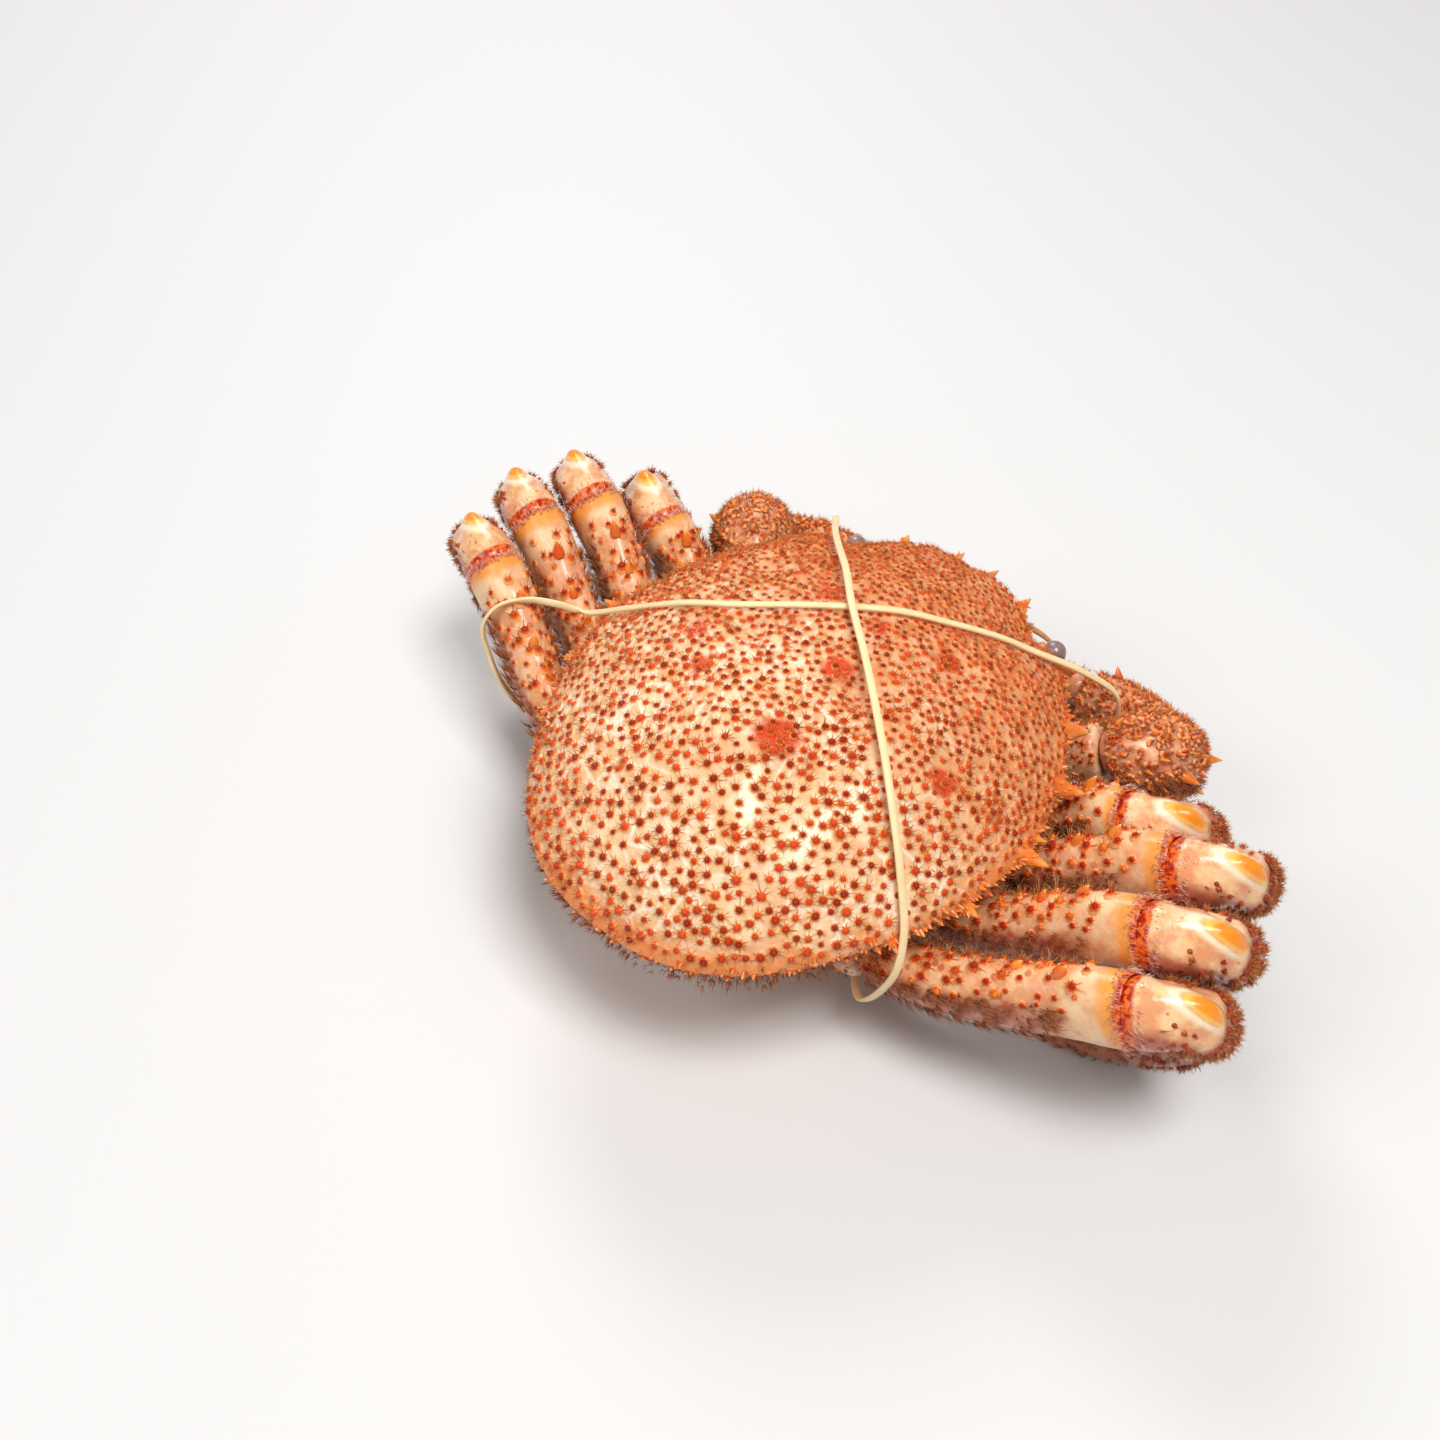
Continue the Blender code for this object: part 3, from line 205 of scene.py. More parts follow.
PLAN = smooth_closed(list(OUTLINE) + [(-x, y) for x, y in reversed(OUTLINE[1:-1])], OUTLINE_STEPS)


def turn_of(x, y):
    """Angle of a plan place round the dome's centre, zero at the face."""
    return np.arctan2(x - DOME_CENTRE[0], DOME_CENTRE[1] - y)


PLAN_TURNS = turn_of(PLAN[:, 0], PLAN[:, 1])
PLAN_ORDER = np.argsort(PLAN_TURNS)
PLAN_REACH = np.linalg.norm(PLAN - DOME_CENTRE, axis=1)


def plan_reach(turn):
    """Distance from the dome's centre to the margin at an angle."""
    return np.interp(turn, PLAN_TURNS[PLAN_ORDER], PLAN_REACH[PLAN_ORDER], period=2 * math.pi)


def plan_scale(x, y):
    """How far out towards the margin a plan place lies, 1 being the margin."""
    away = np.hypot(x - DOME_CENTRE[0], y - DOME_CENTRE[1])
    return away / plan_reach(turn_of(x, y))


def margin_height(y):
    """Height of the carapace margin, higher at the face than at the rear."""
    front = MARGIN_HEIGHT + MARGIN_FRONT_RISE * (y / 50.0) ** 2
    rear = MARGIN_HEIGHT - MARGIN_REAR_DROP * (y / 50.0) ** 2
    return np.where(np.asarray(y) < 0, front, rear)


def dome_height(x, y):
    """Height of the carapace's upper surface over a plan place."""
    x, y = np.asarray(x, dtype=float), np.asarray(y, dtype=float)
    share = np.minimum(plan_scale(x, y), 1.0)
    margin = margin_height(y)
    arch = (1.0 - share ** DOME_POWER) ** DOME_ROUND
    height = margin + (MARGIN_HEIGHT + DOME_RISE - margin) * arch
    for cx, cy, sx, sy, rise in REGIONS:
        for side in ((1, -1) if cx else (1,)):
            bell = np.exp(-((x - side * cx) / sx) ** 2 - ((y - cy) / sy) ** 2)
            height = height + rise * bell * np.minimum(1.0, 3.0 * (1.0 - share))
    return height


def dome_frames(spots):
    """Places on the dome and directions straight out of it, for plan spots."""
    x, y = spots[:, 0], spots[:, 1]
    step = 0.5
    slope_x = (dome_height(x + step, y) - dome_height(x - step, y)) / (2 * step)
    slope_y = (dome_height(x, y + step) - dome_height(x, y - step)) / (2 * step)
    out = unit(np.stack((-slope_x, -slope_y, np.ones_like(x)), axis=1))
    return np.stack((x, y, dome_height(x, y)), axis=1), out


class Limb:
    """The curved axis and the changing width of a limb segment."""

    def __init__(self, start, start_way, end, end_way, sizes, side=None, bulge=0.36, hand=1):
        self.start = Vector(start)
        self.end = Vector(end)
        self.start_way = Vector(start_way).normalized()
        self.end_way = Vector(end_way).normalized()
        self.reach = bulge * (self.end - self.start).length
        self.sizes = sizes
        self.hand = hand
        self.swellings = ()
        axis = self.end - self.start
        self.side = (Vector(side) if side else Vector((-axis.y, axis.x, 0.0))).normalized()

    def centre(self, share):
        """Point of the axis; past either end it runs straight on."""
        if share < 0:
            return self.start + self.start_way * share * self.reach * 3
        if share > 1:
            return self.end + self.end_way * (share - 1) * self.reach * 3
        a, d = self.start, self.end
        b = a + self.start_way * self.reach
        c = d - self.end_way * self.reach
        rest = 1.0 - share
        return a * rest ** 3 + b * 3 * rest ** 2 * share + c * 3 * rest * share ** 2 + d * share ** 3

    def frame(self, share):
        """Along, across and depth directions at a share of the length."""
        step = 0.01
        along = (self.centre(share + step) - self.centre(share - step)).normalized()
        across = (self.side - along * self.side.dot(along)).normalized()
        return along, across, across.cross(along).normalized() * -self.hand

    def size(self, share):
        """Half thickness and half depth at a share of the length."""
        shares = [entry[0] for entry in self.sizes]
        return tuple(np.interp(share, shares, [entry[i] for entry in self.sizes]) for i in (1, 2))

    def lift(self, share, degrees):
        """How far the swellings raise the skin at a place; works on arrays too."""
        total = 0.0 * share
        for middle, round_about, length, width, height in self.swellings:
            aside = (degrees - round_about + 180.0) % 360.0 - 180.0
            total = total + height * np.exp(-((share - middle) / length) ** 2 - (aside / width) ** 2)
        return total

    def skin(self, share, degrees):
        """Place on the skin, the direction out of it and the one along it."""
        along, across, depth = self.frame(share)
        wide, deep = self.size(share)
        lift = self.lift(share, degrees)
        turn = math.radians(degrees)
        place = (self.centre(share) + across * math.cos(turn) * (wide + lift)
                 + depth * math.sin(turn) * (deep + lift))
        out = (across * math.cos(turn) * deep + depth * math.sin(turn) * wide).normalized()
        return place, out, along


def mirrored(point, side):
    """The same point or direction on the left (1) or right (-1) side."""
    return Vector((point[0] * side, point[1], point[2]))


def mirrored_limb(points, side, sizes, *more):
    """A limb given by its left-side points and directions, on either side."""
    return Limb(*(mirrored(point, side) for point in points), sizes, *more)


def only(*chosen):
    """Select just these objects, the first one active."""
    bpy.ops.object.select_all(action="DESELECT")
    for thing in chosen:
        thing.select_set(True)
    bpy.context.view_layer.objects.active = chosen[0]


def joined(pieces, name):
    """Join pieces into one object of that name."""
    only(*pieces)
    if len(pieces) > 1:
        bpy.ops.object.join()
    made = bpy.context.view_layer.objects.active
    made.name = name
    made.data.name = name
    return made


def settle(thing):
    """Put an object's place, turn and size into its mesh."""
    only(thing)
    bpy.ops.object.transform_apply(location=True, rotation=True, scale=True)


def add_object(name, data):
    """A new object in the scene that shows this mesh, lamp or camera."""
    made = bpy.data.objects.new(name, data)
    bpy.context.scene.collection.objects.link(made)
    return made


def points_of(thing):
    """A piece's points, a row each."""
    points = np.empty(len(thing.data.vertices) * 3)
    thing.data.vertices.foreach_get("co", points)
    return points.reshape(-1, 3)


def to_all(thing, act, **settings):
    """Do one thing in edit mode to all of a piece."""
    only(thing)
    bpy.ops.object.mode_set(mode="EDIT")
    bpy.ops.mesh.select_all(action="SELECT")
    act(**settings)
    bpy.ops.object.mode_set(mode="OBJECT")


def face_outward(thing):
    """Turn all faces of a piece outward."""
    to_all(thing, bpy.ops.mesh.normals_make_consistent, inside=False)


def smooth(thing):
    """Shade a piece smooth."""
    only(thing)
    bpy.ops.object.shade_smooth()


def hoop(limb, share, sides, scale):
    """One open circle round a limb's axis."""
    along, across, depth = limb.frame(share)
    if across.cross(depth).dot(along) < 0:
        across = -across
    turn = Matrix((across, depth, along)).transposed()
    wide, deep = limb.size(share)
    bpy.ops.mesh.primitive_circle_add(vertices=sides, radius=1.0, location=world(limb.centre(share)),
                                      rotation=turn.to_euler())
    ring = bpy.context.object
    ring.scale = (wide * scale * MM, deep * scale * MM, 1.0)
    return ring


def pick(thing, first, count):
    """In edit mode, select just this run of points."""
    bpy.ops.mesh.select_all(action="DESELECT")
    shell = bmesh.from_edit_mesh(thing.data)
    shell.verts.ensure_lookup_table()
    for vert in shell.verts[first:first + count]:
        vert.select = True
    shell.select_flush(True)
    bmesh.update_edit_mesh(thing.data)


def sleeve(name, limb, stations, sides=20, smoothing=1):
    """A closed tube bridged through circles at these shares and scales."""
    made = joined([hoop(limb, share, sides, scale) for share, scale in stations], name)
    settle(made)
    bpy.ops.object.mode_set(mode="EDIT")
    bpy.ops.mesh.select_mode(type="VERT")
    last = len(stations) - 1
    for index in range(last):
        pick(made, index * sides, 2 * sides)
        bpy.ops.mesh.bridge_edge_loops()
    for index in (0, last):
        pick(made, index * sides, sides)
        bpy.ops.mesh.edge_face_add()
    bpy.ops.object.mode_set(mode="OBJECT")
    face_outward(made)
    if smoothing:
        change = made.modifiers.new("smoothing", "SUBSURF")
        change.levels = change.render_levels = smoothing
        bpy.ops.object.modifier_apply(modifier=change.name)
    smooth(made)
    return made


def swept(name, spots, closed):
    """A skin through rings of places in millimetres, its ends capped unless it closes on itself."""
    rings, sides = spots.shape[:2]
    faces = [] if closed else [tuple(range(sides)), tuple(range((rings - 1) * sides, rings * sides))]
    for ring in range(rings if closed else rings - 1):
        this, other = ring * sides, (ring + 1) % rings * sides
        for side in range(sides):
            beside = (side + 1) % sides
            faces.append((this + side, this + beside, other + beside, other + side))
    mesh = bpy.data.meshes.new(name)
    mesh.from_pydata(world(spots.reshape(-1, 3)).tolist(), [], faces)
    made = add_object(name, mesh)
    face_outward(made)
    smooth(made)
    return made


def ball_points(name, segments, rings):
    """A new sphere of radius 1, its points, their turn and latitude, and their way out on the plan."""
    bpy.ops.mesh.primitive_uv_sphere_add(segments=segments, ring_count=rings, radius=1.0)
    shell = bpy.context.object
    shell.name = name
    ball = points_of(shell)
    turn = np.arctan2(ball[:, 0], -ball[:, 1])
    latitude = np.arcsin(np.clip(ball[:, 2], -1, 1)) / (math.pi / 2)
    return shell, ball, turn, latitude, way_of(turn)


def set_points(shell, spots, seams=None):
    """Put a shell's points at these places in millimetres and keep where its seams run."""
    shell.data.vertices.foreach_set("co", world(spots).ravel())
    if seams is not None:
        layer = shell.data.attributes.new("seam", "FLOAT", "POINT")
        layer.data.foreach_set("value", seams.ravel())
    shell.data.update()
    smooth(shell)


def note_lay(thing, limb):
    """Raise a limb's swellings, then keep how far along and how high round each point lies."""
    spots = points_of(thing) / MM - CENTRE_SHIFT
    shares = np.linspace(-0.15, 1.05, 97)
    axis = np.array([limb.centre(share) for share in shares])
    nearest = np.argmin(((spots[:, None, :] - axis[None]) ** 2).sum(axis=2), axis=1)
    frames = np.array([[list(way) for way in limb.frame(share)] for share in shares])[nearest]
    along, across, depth = (frames[:, index] for index in range(3))
    away = spots - axis[nearest]
    run = (away * along).sum(axis=1)
    away = away - along * run[:, None]
    away /= np.linalg.norm(away, axis=1)[:, None] + 1e-6
    share = shares[nearest] + run / (limb.end - limb.start).length
    lay = np.column_stack((share, (away * across).sum(axis=1), (away * depth).sum(axis=1)))
    lift = limb.lift(share, np.degrees(np.arctan2(lay[:, 2], lay[:, 1])))
    thing.data.vertices.foreach_set("co", world(spots + away * lift[:, None]).ravel())
    thing.data.attributes.new("lay", "FLOAT_VECTOR", "POINT").data.foreach_set("vector", lay.ravel())
    thing.data.update()


LOOKS = {}


def dress(thing, look_name, slot, *nodes):
    """Give a piece its material and its body, and hide the nodes it stands for; the slot is not used."""
    thing.data.materials.clear()
    thing.data.materials.append(LOOKS[look_name])
    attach(thing, "root")
    if nodes:
        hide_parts(*nodes)
    return thing


def limb_piece(name, limb, stations, look, slot, *nodes, **shape):
    """A limb's skin, with its lay noted and dressed."""
    piece = sleeve(name, limb, stations, **shape)
    note_lay(piece, limb)
    return dress(piece, look, slot, *nodes)


# Small shapes that are modelled once and copied many times: granules, spines and hairs.
POINT_RADIUS = 1e-6
STAMP_UNWRAP = 0.0015
HAIR_SIDES = 3
ROSETTE_FOOT = 0.38
LOCK_FOOT = 0.3


class Stamp:
    """A small shape's points and faces, and how high or how far out each point is."""

    def __init__(self, thing, outward=False):
        to_all(thing, bpy.ops.mesh.quads_convert_to_tris)
        self.points = points_of(thing)
        self.faces = np.array([face.vertices[:] for face in thing.data.polygons])
        height = np.hypot(self.points[:, 0], self.points[:, 1]) if outward else self.points[:, 2]
        self.rise = np.clip(height / max(height.max(), 1e-9), 0.0, 1.0)
        bpy.data.objects.remove(thing)


def drawn_out(sides, steps, closed=False):
    """A circle drawn out to a point by extrusions: height, radius and sway of each."""
    height, radius, sway = steps[0]
    bpy.ops.mesh.primitive_circle_add(vertices=sides, radius=radius, location=(sway, 0, height),
                                      fill_type="NGON" if closed else "NOTHING")
    made = bpy.context.object
    settle(made)
    bpy.ops.object.mode_set(mode="EDIT")
    bpy.ops.mesh.select_all(action="SELECT")
    for new_height, new_radius, new_sway in steps[1:]:
        move = (new_sway - sway, 0, new_height - height)
        bpy.ops.mesh.extrude_region_move(TRANSFORM_OT_translate={"value": move})
        factor = max(new_radius, POINT_RADIUS) / radius
        bpy.ops.transform.resize(value=(factor, factor, 1.0), center_override=(new_sway, 0, new_height))
        height, radius, sway = new_height, max(new_radius, POINT_RADIUS), new_sway
    bpy.ops.mesh.merge(type="CENTER")
    bpy.ops.object.mode_set(mode="OBJECT")
    face_outward(made)
    return made


def bristle_ring(count, spread, rise, length, thick):
    """A rosette of bent bristles round a wart, some short and some long."""
    hairs = []
    for index in range(count):
        reach = length * draw(0.55, 1.15)
        middle = (reach * 0.5, thick * 0.8, reach * draw(-0.05, 0.12))
        hair = drawn_out(HAIR_SIDES, ((0.0, thick, 0.0), middle, (reach, 0, reach * draw(-0.1, 0.35))))
        hair.rotation_euler = (0.0, spread * draw(0.35, 1.2), 0.0)
        settle(hair)
        hair.location = (ROSETTE_FOOT, 0.0, rise)
        settle(hair)
        hair.rotation_euler = (0.0, 0.0, 2 * math.pi * (index + draw(-0.4, 0.4)) / count)
        settle(hair)
        hairs.append(hair)
    return joined(hairs, "rosette")


def lock(hairs, length, thick, spread, sweep):
    """A lock of hairs that leave one root, lean along X and part a little."""
    strands = []
    for _ in range(hairs):
        reach = length * draw(0.7, 1.1)
        bend = sweep * draw(0.7, 1.2)
        middle = (reach * 0.45, thick * 0.75, reach * bend * 0.35)
        strand = drawn_out(HAIR_SIDES, ((0.0, thick, 0.0), middle, (reach * 0.8, 0, reach * bend)))
        strand.rotation_euler = (draw(-spread, spread), draw(-spread, spread), 0.0)
        strand.location = (draw(-LOCK_FOOT, LOCK_FOOT), draw(-LOCK_FOOT, LOCK_FOOT), 0.0)
        settle(strand)
        strands.append(strand)
    return joined(strands, "lock")


def rosette_stamps(counts, *shape):
    """A rosette for each number of bristles."""
    return [Stamp(bristle_ring(count, *shape), True) for count in counts]


def lock_stamps(count, *shape):
    """Some locks of hair, each a little different."""
    return [Stamp(lock(*shape)) for _ in range(count)]


def stamp_all(name, stamps, places, outs, aims, sizes, roots, tall=None):
    """One mesh with a stamp at each place, its Z out of the skin and its X aimed."""
    tall = sizes if tall is None else tall
    places, outs, aims, sizes, roots, tall = (
        np.asarray(value, dtype=float) for value in (places, outs, aims, sizes, roots, tall))
    tints = DARTS.random(len(places))
    aims = aims - outs * (aims * outs).sum(axis=1)[:, None]
    aims /= np.linalg.norm(aims, axis=1)[:, None] + 1e-9
    cross = np.cross(outs, aims)
    kinds = DARTS.integers(0, len(stamps), len(places))
    parts = []
    base = 0
    for kind, stamp in enumerate(stamps):
        chosen = np.nonzero(kinds == kind)[0]
        local, count = stamp.points[None], len(stamp.points)
        at = (places[chosen, None]
              + aims[chosen, None] * local[..., 0:1] * sizes[chosen, None, None]
              + cross[chosen, None] * local[..., 1:2] * sizes[chosen, None, None]
              + outs[chosen, None] * local[..., 2:3] * tall[chosen, None, None])
        offsets = base + np.arange(len(chosen))[:, None, None] * count
        patch = stamp.points[:, :2] / (np.abs(stamp.points[:, :2]).max() + 1e-9) * STAMP_UNWRAP
        parts.append((at.reshape(-1, 3), (stamp.faces[None] + offsets).reshape(-1, 3),
                      np.tile(stamp.rise, len(chosen)), np.repeat(tints[chosen], count),
                      (roots[chosen, None] + patch[None]).reshape(-1, 2)))
        base += len(chosen) * count
    points, faces, rise, tint, unwrap = (np.concatenate(part) for part in zip(*parts))
    points = world(points)
    points[:, 2] = np.maximum(points[:, 2], 0.0)
    mesh = bpy.data.meshes.new(name)
    mesh.vertices.add(len(points))
    mesh.vertices.foreach_set("co", points.ravel())
    mesh.loops.add(faces.size)
    mesh.loops.foreach_set("vertex_index", faces.ravel())
    mesh.polygons.add(len(faces))
    mesh.polygons.foreach_set("loop_start", np.arange(0, faces.size, 3))
    mesh.polygons.foreach_set("loop_total", np.full(len(faces), 3))
    mesh.update(calc_edges=True)
    mesh.uv_layers.new(name="OFBake").data.foreach_set("uv", unwrap[faces.ravel()].ravel())
    for label, values in (("rise", rise), ("tint", tint)):
        mesh.attributes.new(label, "FLOAT", "POINT").data.foreach_set("value", values)
    made = add_object(name, mesh)
    smooth(made)
    return made


class Coat:
    """Places gathered for one kind of stamp."""

    def __init__(self):
        self.rows = []

    def plant(self, place, out, aim, size, root, tall=None):
        """Keep one place, the way out of the skin there and the lie of the coat."""
        self.rows.append((place, out, aim, size, root, size if tall is None else tall))

    def make(self, name, stamps, look, slot):
        """One piece with a stamp at each place."""
        dress(stamp_all(name, stamps, *zip(*self.rows)), look, slot)


# The coats by kind of stamp and group of pieces, and the square cells of their common unwrap.
COATS = collections.defaultdict(Coat)
CELLS = itertools.count()
CELLS_ACROSS = 8
CELL_GAP = 0.08
CELL_USED = 0.84


def atlas_root(cell, share, degrees):
    """Place of a limb's skin in its own cell of the coat's unwrap."""
    row, column = divmod(cell, CELLS_ACROSS)
    return ((column + CELL_GAP + CELL_USED * share) / CELLS_ACROSS,
            (row + CELL_GAP + CELL_USED * ((degrees % 360) / 360)) / CELLS_ACROSS)


def planter(limb, group, cell):
    """A function that plants one kind of stamp on a limb's skin."""
    def put(kind, share, degrees, size, tall=None, lean=0.0):
        place, out, along = limb.skin(share, degrees)
        COATS[kind, group].plant(place, (out + along * lean).normalized(), along, size,
                                 atlas_root(cell, share, degrees), tall)
    return put


def drawn_from(span):
    """A number from a range, or from either of two ranges."""
    return RANDOM.choice([draw(*part) for part in span]) if isinstance(span[0], tuple) else draw(*span)


def strew(put, count, shares, turns, sizes, *kinds, order="share turn size"):
    """Plant a coat all over a stretch of a limb; kinds say which stamp, its part of the size and its lean."""
    spans = {"share": shares, "turn": turns, "size": sizes}
    for _ in range(count):
        drawn = {label: drawn_from(spans[label]) for label in order.split()}
        for kind, part, lean in kinds:
            put(kind, drawn["share"], drawn["turn"], drawn["size"] * part, lean=lean)


def fringe(put, count, shares, sizes, lean):
    """Plant pale hairs all the way round a limb."""
    for index in range(count):
        degrees = 360.0 * index / count + draw(-3, 3)
        put("rim_hair", draw(*shares), degrees, draw(*sizes), lean=lean)


# Materials: sockets with arithmetic, and a method that adds any other node.
def operator(operation, swapped=False):
    """A method that adds a maths node; swapped where the socket comes second."""
    def act(self, other):
        first, second = (other, self) if swapped else (self, other)
        return self.look.maths(operation, first, second)
    return act


class Flow:
    """A socket whose arithmetic adds maths nodes."""

    def __init__(self, look, socket):
        self.look, self.socket = look, socket

    __add__ = operator("ADD")
    __radd__ = operator("ADD")
    __sub__ = operator("SUBTRACT")
    __rsub__ = operator("SUBTRACT", True)
    __mul__ = operator("MULTIPLY")
    __rmul__ = operator("MULTIPLY")
    __pow__ = operator("POWER")


class Look:
    """A Principled material built up from expressions, its colour laid on in layers."""

    def __init__(self, name, roughness, coat=0.0, coat_roughness=0.03, specular=0.5):
        self.material = bpy.data.materials.new(name)
        self.material.use_nodes = True
        self.tree = self.material.node_tree
        self.inputs = self.tree.nodes["Principled BSDF"].inputs
        for label, value in (("Roughness", roughness), ("Coat Weight", coat), ("Coat Roughness", coat_roughness),
                             ("Specular IOR Level", specular)):
            self.inputs[label].default_value = value
        self.at = self.node("ShaderNodeTexCoord", output="Object")
        self.colour = None

    def feed(self, socket, value):
        """Give a socket a value or a link."""
        if isinstance(value, Flow):
            self.tree.links.new(value.socket, socket)
        else:
            socket.default_value = value

    def node(self, kind, settings=None, inputs=None, output=0):
        """Add a node: its settings first, then what its sockets take."""
        made = self.tree.nodes.new(kind)
        for key, value in (settings or {}).items():
            setattr(made, key, value)
        for key, value in (inputs or {}).items():
            self.feed(made.inputs[key], value)
        return Flow(self, made.outputs[output])

    def maths(self, operation, first, second):
        return self.node("ShaderNodeMath", {"operation": operation}, {0: first, 1: second})

    def mix(self, factor, below, above):
        """Colour between two, by a factor."""
        below, above = ((*c, 1.0) if isinstance(c, tuple) else c for c in (below, above))
        return self.node("ShaderNodeMix", {"data_type": "RGBA", "clamp_factor": True},
                         {0: factor, 6: below, 7: above}, 2)

    def step(self, value, low, high):
        """From 0 to 1 while the value goes from low to high."""
        return self.node("ShaderNodeMapRange", {"interpolation_type": "SMOOTHSTEP"},
                         {"Value": value, "From Min": low, "From Max": high})

    def noise(self, scale, detail=3.0, roughness=0.5):
        """Cloudy pattern with this many blobs a millimetre."""
        return self.node("ShaderNodeTexNoise", None, {"Vector": self.at, "Scale": scale / MM, "Detail": detail,
                                                      "Roughness": roughness}, "Fac")

    def cloud(self, scale, low, high, detail=3.0, roughness=0.5):
        """Where the cloudy pattern is above these levels."""
        return self.step(self.noise(scale, detail, roughness), low, high)

    def cells(self, scale, feature="F1"):
        """Distance to the nearest of scattered points, this many a millimetre."""
        return self.node("ShaderNodeTexVoronoi", {"feature": feature},
                         {"Vector": self.at, "Scale": scale / MM, "Randomness": 1.0}, "Distance")

    def specks(self, scale, low, high, feature="F1"):
        """Round spots on scattered points, or veins between them."""
        return 1 - self.step(self.cells(scale, feature), low, high)

    def axis(self, name):
        """One of X, Y and Z, in millimetres round the carapace."""
        split = self.node("ShaderNodeSeparateXYZ", None, {0: self.at}, name)
        return split * (1 / MM) - float(CENTRE_SHIFT["XYZ".index(name)])

    def attribute(self, name, output="Fac"):
        return self.node("ShaderNodeAttribute", {"attribute_name": name}, None, output)

    def relief(self, height, strength, distance):
        """Bump from a height, its depth in millimetres."""
        self.feed(self.inputs["Normal"], self.node(
            "ShaderNodeBump", None, {"Height": height, "Strength": strength, "Distance": distance * MM}, "Normal"))

    def cover(self, mask, colour):
        """Lay a colour over what is there, where the mask says."""
        self.colour = self.mix(mask, self.colour, colour)

    def done(self):
        """The material, with its colour linked."""
        self.feed(self.inputs["Base Color"], self.colour)
        return self.material


CREAM = (0.86, 0.50, 0.23)
PALE_CREAM = (0.93, 0.69, 0.42)
AMBER = (0.81, 0.385, 0.16)
BROWN_ORANGE = (0.66, 0.22, 0.075)
DARK_RED = (0.30, 0.016, 0.005)
BRIGHT_RED = (0.76, 0.085, 0.012)
PATCH_RED = (0.56, 0.030, 0.005)
RED_BROWN = (0.52, 0.055, 0.014)
ORANGE = (0.86, 0.24, 0.022)
PEACH = (0.80, 0.36, 0.20)
PINK = (0.78, 0.34, 0.22)
HAIR_BROWN = (0.44, 0.10, 0.020)
SIDE_BROWN = (0.34, 0.085, 0.042)
SIDE_PINK = (0.62, 0.23, 0.13)


def patch_mask(look):
    """Where the bright red patches of the back lie."""
    wobble = (look.noise(0.35, 2.0) - 0.5) * 3.2
    x, y = look.axis("X"), look.axis("Y")
    mask = None
    for cx, cy, radius in RED_PATCHES:
        away = ((x - cx) ** 2 + (y - cy) ** 2) ** 0.5 + wobble
        spot = 1 - look.step(away, radius * 0.55, radius * 1.15)
        mask = spot if mask is None else look.maths("MAXIMUM", mask, spot)
    return mask


def back_ground(look):
    """Ground colour of the back: amber at the face, cream with veins behind, orange at the margin."""
    x, y, z = (look.axis(name) for name in "XYZ")
    drift = look.noise(0.07, 4.0, 0.6)
    front = 1 - look.step(y + x * 0.22 + (drift - 0.5) * 40, -30.0, 22.0)
    mottle = look.cloud(0.30, 0.36, 0.66, 4.0, 0.62)
    look.colour = look.mix(mottle, CREAM, PALE_CREAM)
    look.cover(front * 0.9, look.mix(mottle, BROWN_ORANGE, AMBER))
    look.cover(look.cloud(0.11, 0.50, 0.72) * 0.3, PINK)
    look.cover(look.cloud(0.19, 0.50, 0.64, 4.0, 0.65) * (0.2 + front * 0.45), (0.80, 0.19, 0.040))
    veins = look.specks(0.22, 0.02, 0.10, "DISTANCE_TO_EDGE")
    look.cover(veins * look.step(drift, 0.40, 0.55) * (1 - front) * 0.75, (1.0, 0.84, 0.66))
    look.cover(patch_mask(look), look.mix(look.noise(1.2), PATCH_RED, BRIGHT_RED))
    inner = look.step(z + (look.noise(0.3) - 0.5) * 4.0 - front * 2.5, 34.5, 39.5)
    margin = look.mix(look.noise(0.4), (0.80, 0.15, 0.018), (0.88, 0.36, 0.10))
    look.colour = look.mix(inner, margin, look.colour)


def back_colours(look):
    """The back, pitted and here and there less glossy."""
    look.relief(look.noise(1.6, 3.0, 0.6) + look.noise(0.5, 2.0) * 1.5, 0.65, 0.28)
    look.feed(look.inputs["Roughness"], 0.28 + look.noise(0.8, 2.0) * 0.25)
    back_ground(look)


def wart_colours(look):
    """Dark red heart on an orange mound, on a skirt of the ground's colour."""
    rise = look.attribute("rise")
    tone = look.mix(look.step(look.attribute("tint"), 0.2, 0.9), (0.28, 0.012, 0.003), (0.72, 0.062, 0.010))
    back_ground(look)
    look.cover(look.step(rise, 0.06, 0.30) * 0.95,
               look.mix(look.cloud(0.5, 0.4, 0.6), (0.78, 0.15, 0.020), (0.90, 0.38, 0.10)))
    look.cover(look.step(rise, 0.26, 0.56) * 0.95, tone)


def hair_colours(root, tip):
    """What colours a hair that runs from one colour to another."""
    def paint(look):
        look.colour = look.mix(look.attribute("tint"), root, HAIR_BROWN)
        look.cover(look.attribute("rise"), tip)
    return paint


def spine_colours(look):
    """Orange with red mottles and a pale amber tip."""
    rise = look.attribute("rise")
    look.colour = look.mix(look.attribute("tint"), (0.74, 0.10, 0.014), (0.88, 0.30, 0.040))
    look.cover(look.cloud(0.7, 0.46, 0.60) * 0.7, look.mix(rise, BRIGHT_RED, (0.90, 0.34, 0.05)))
    look.cover(look.step(rise, 0.55, 1.0) * 0.8, (0.92, 0.46, 0.13))


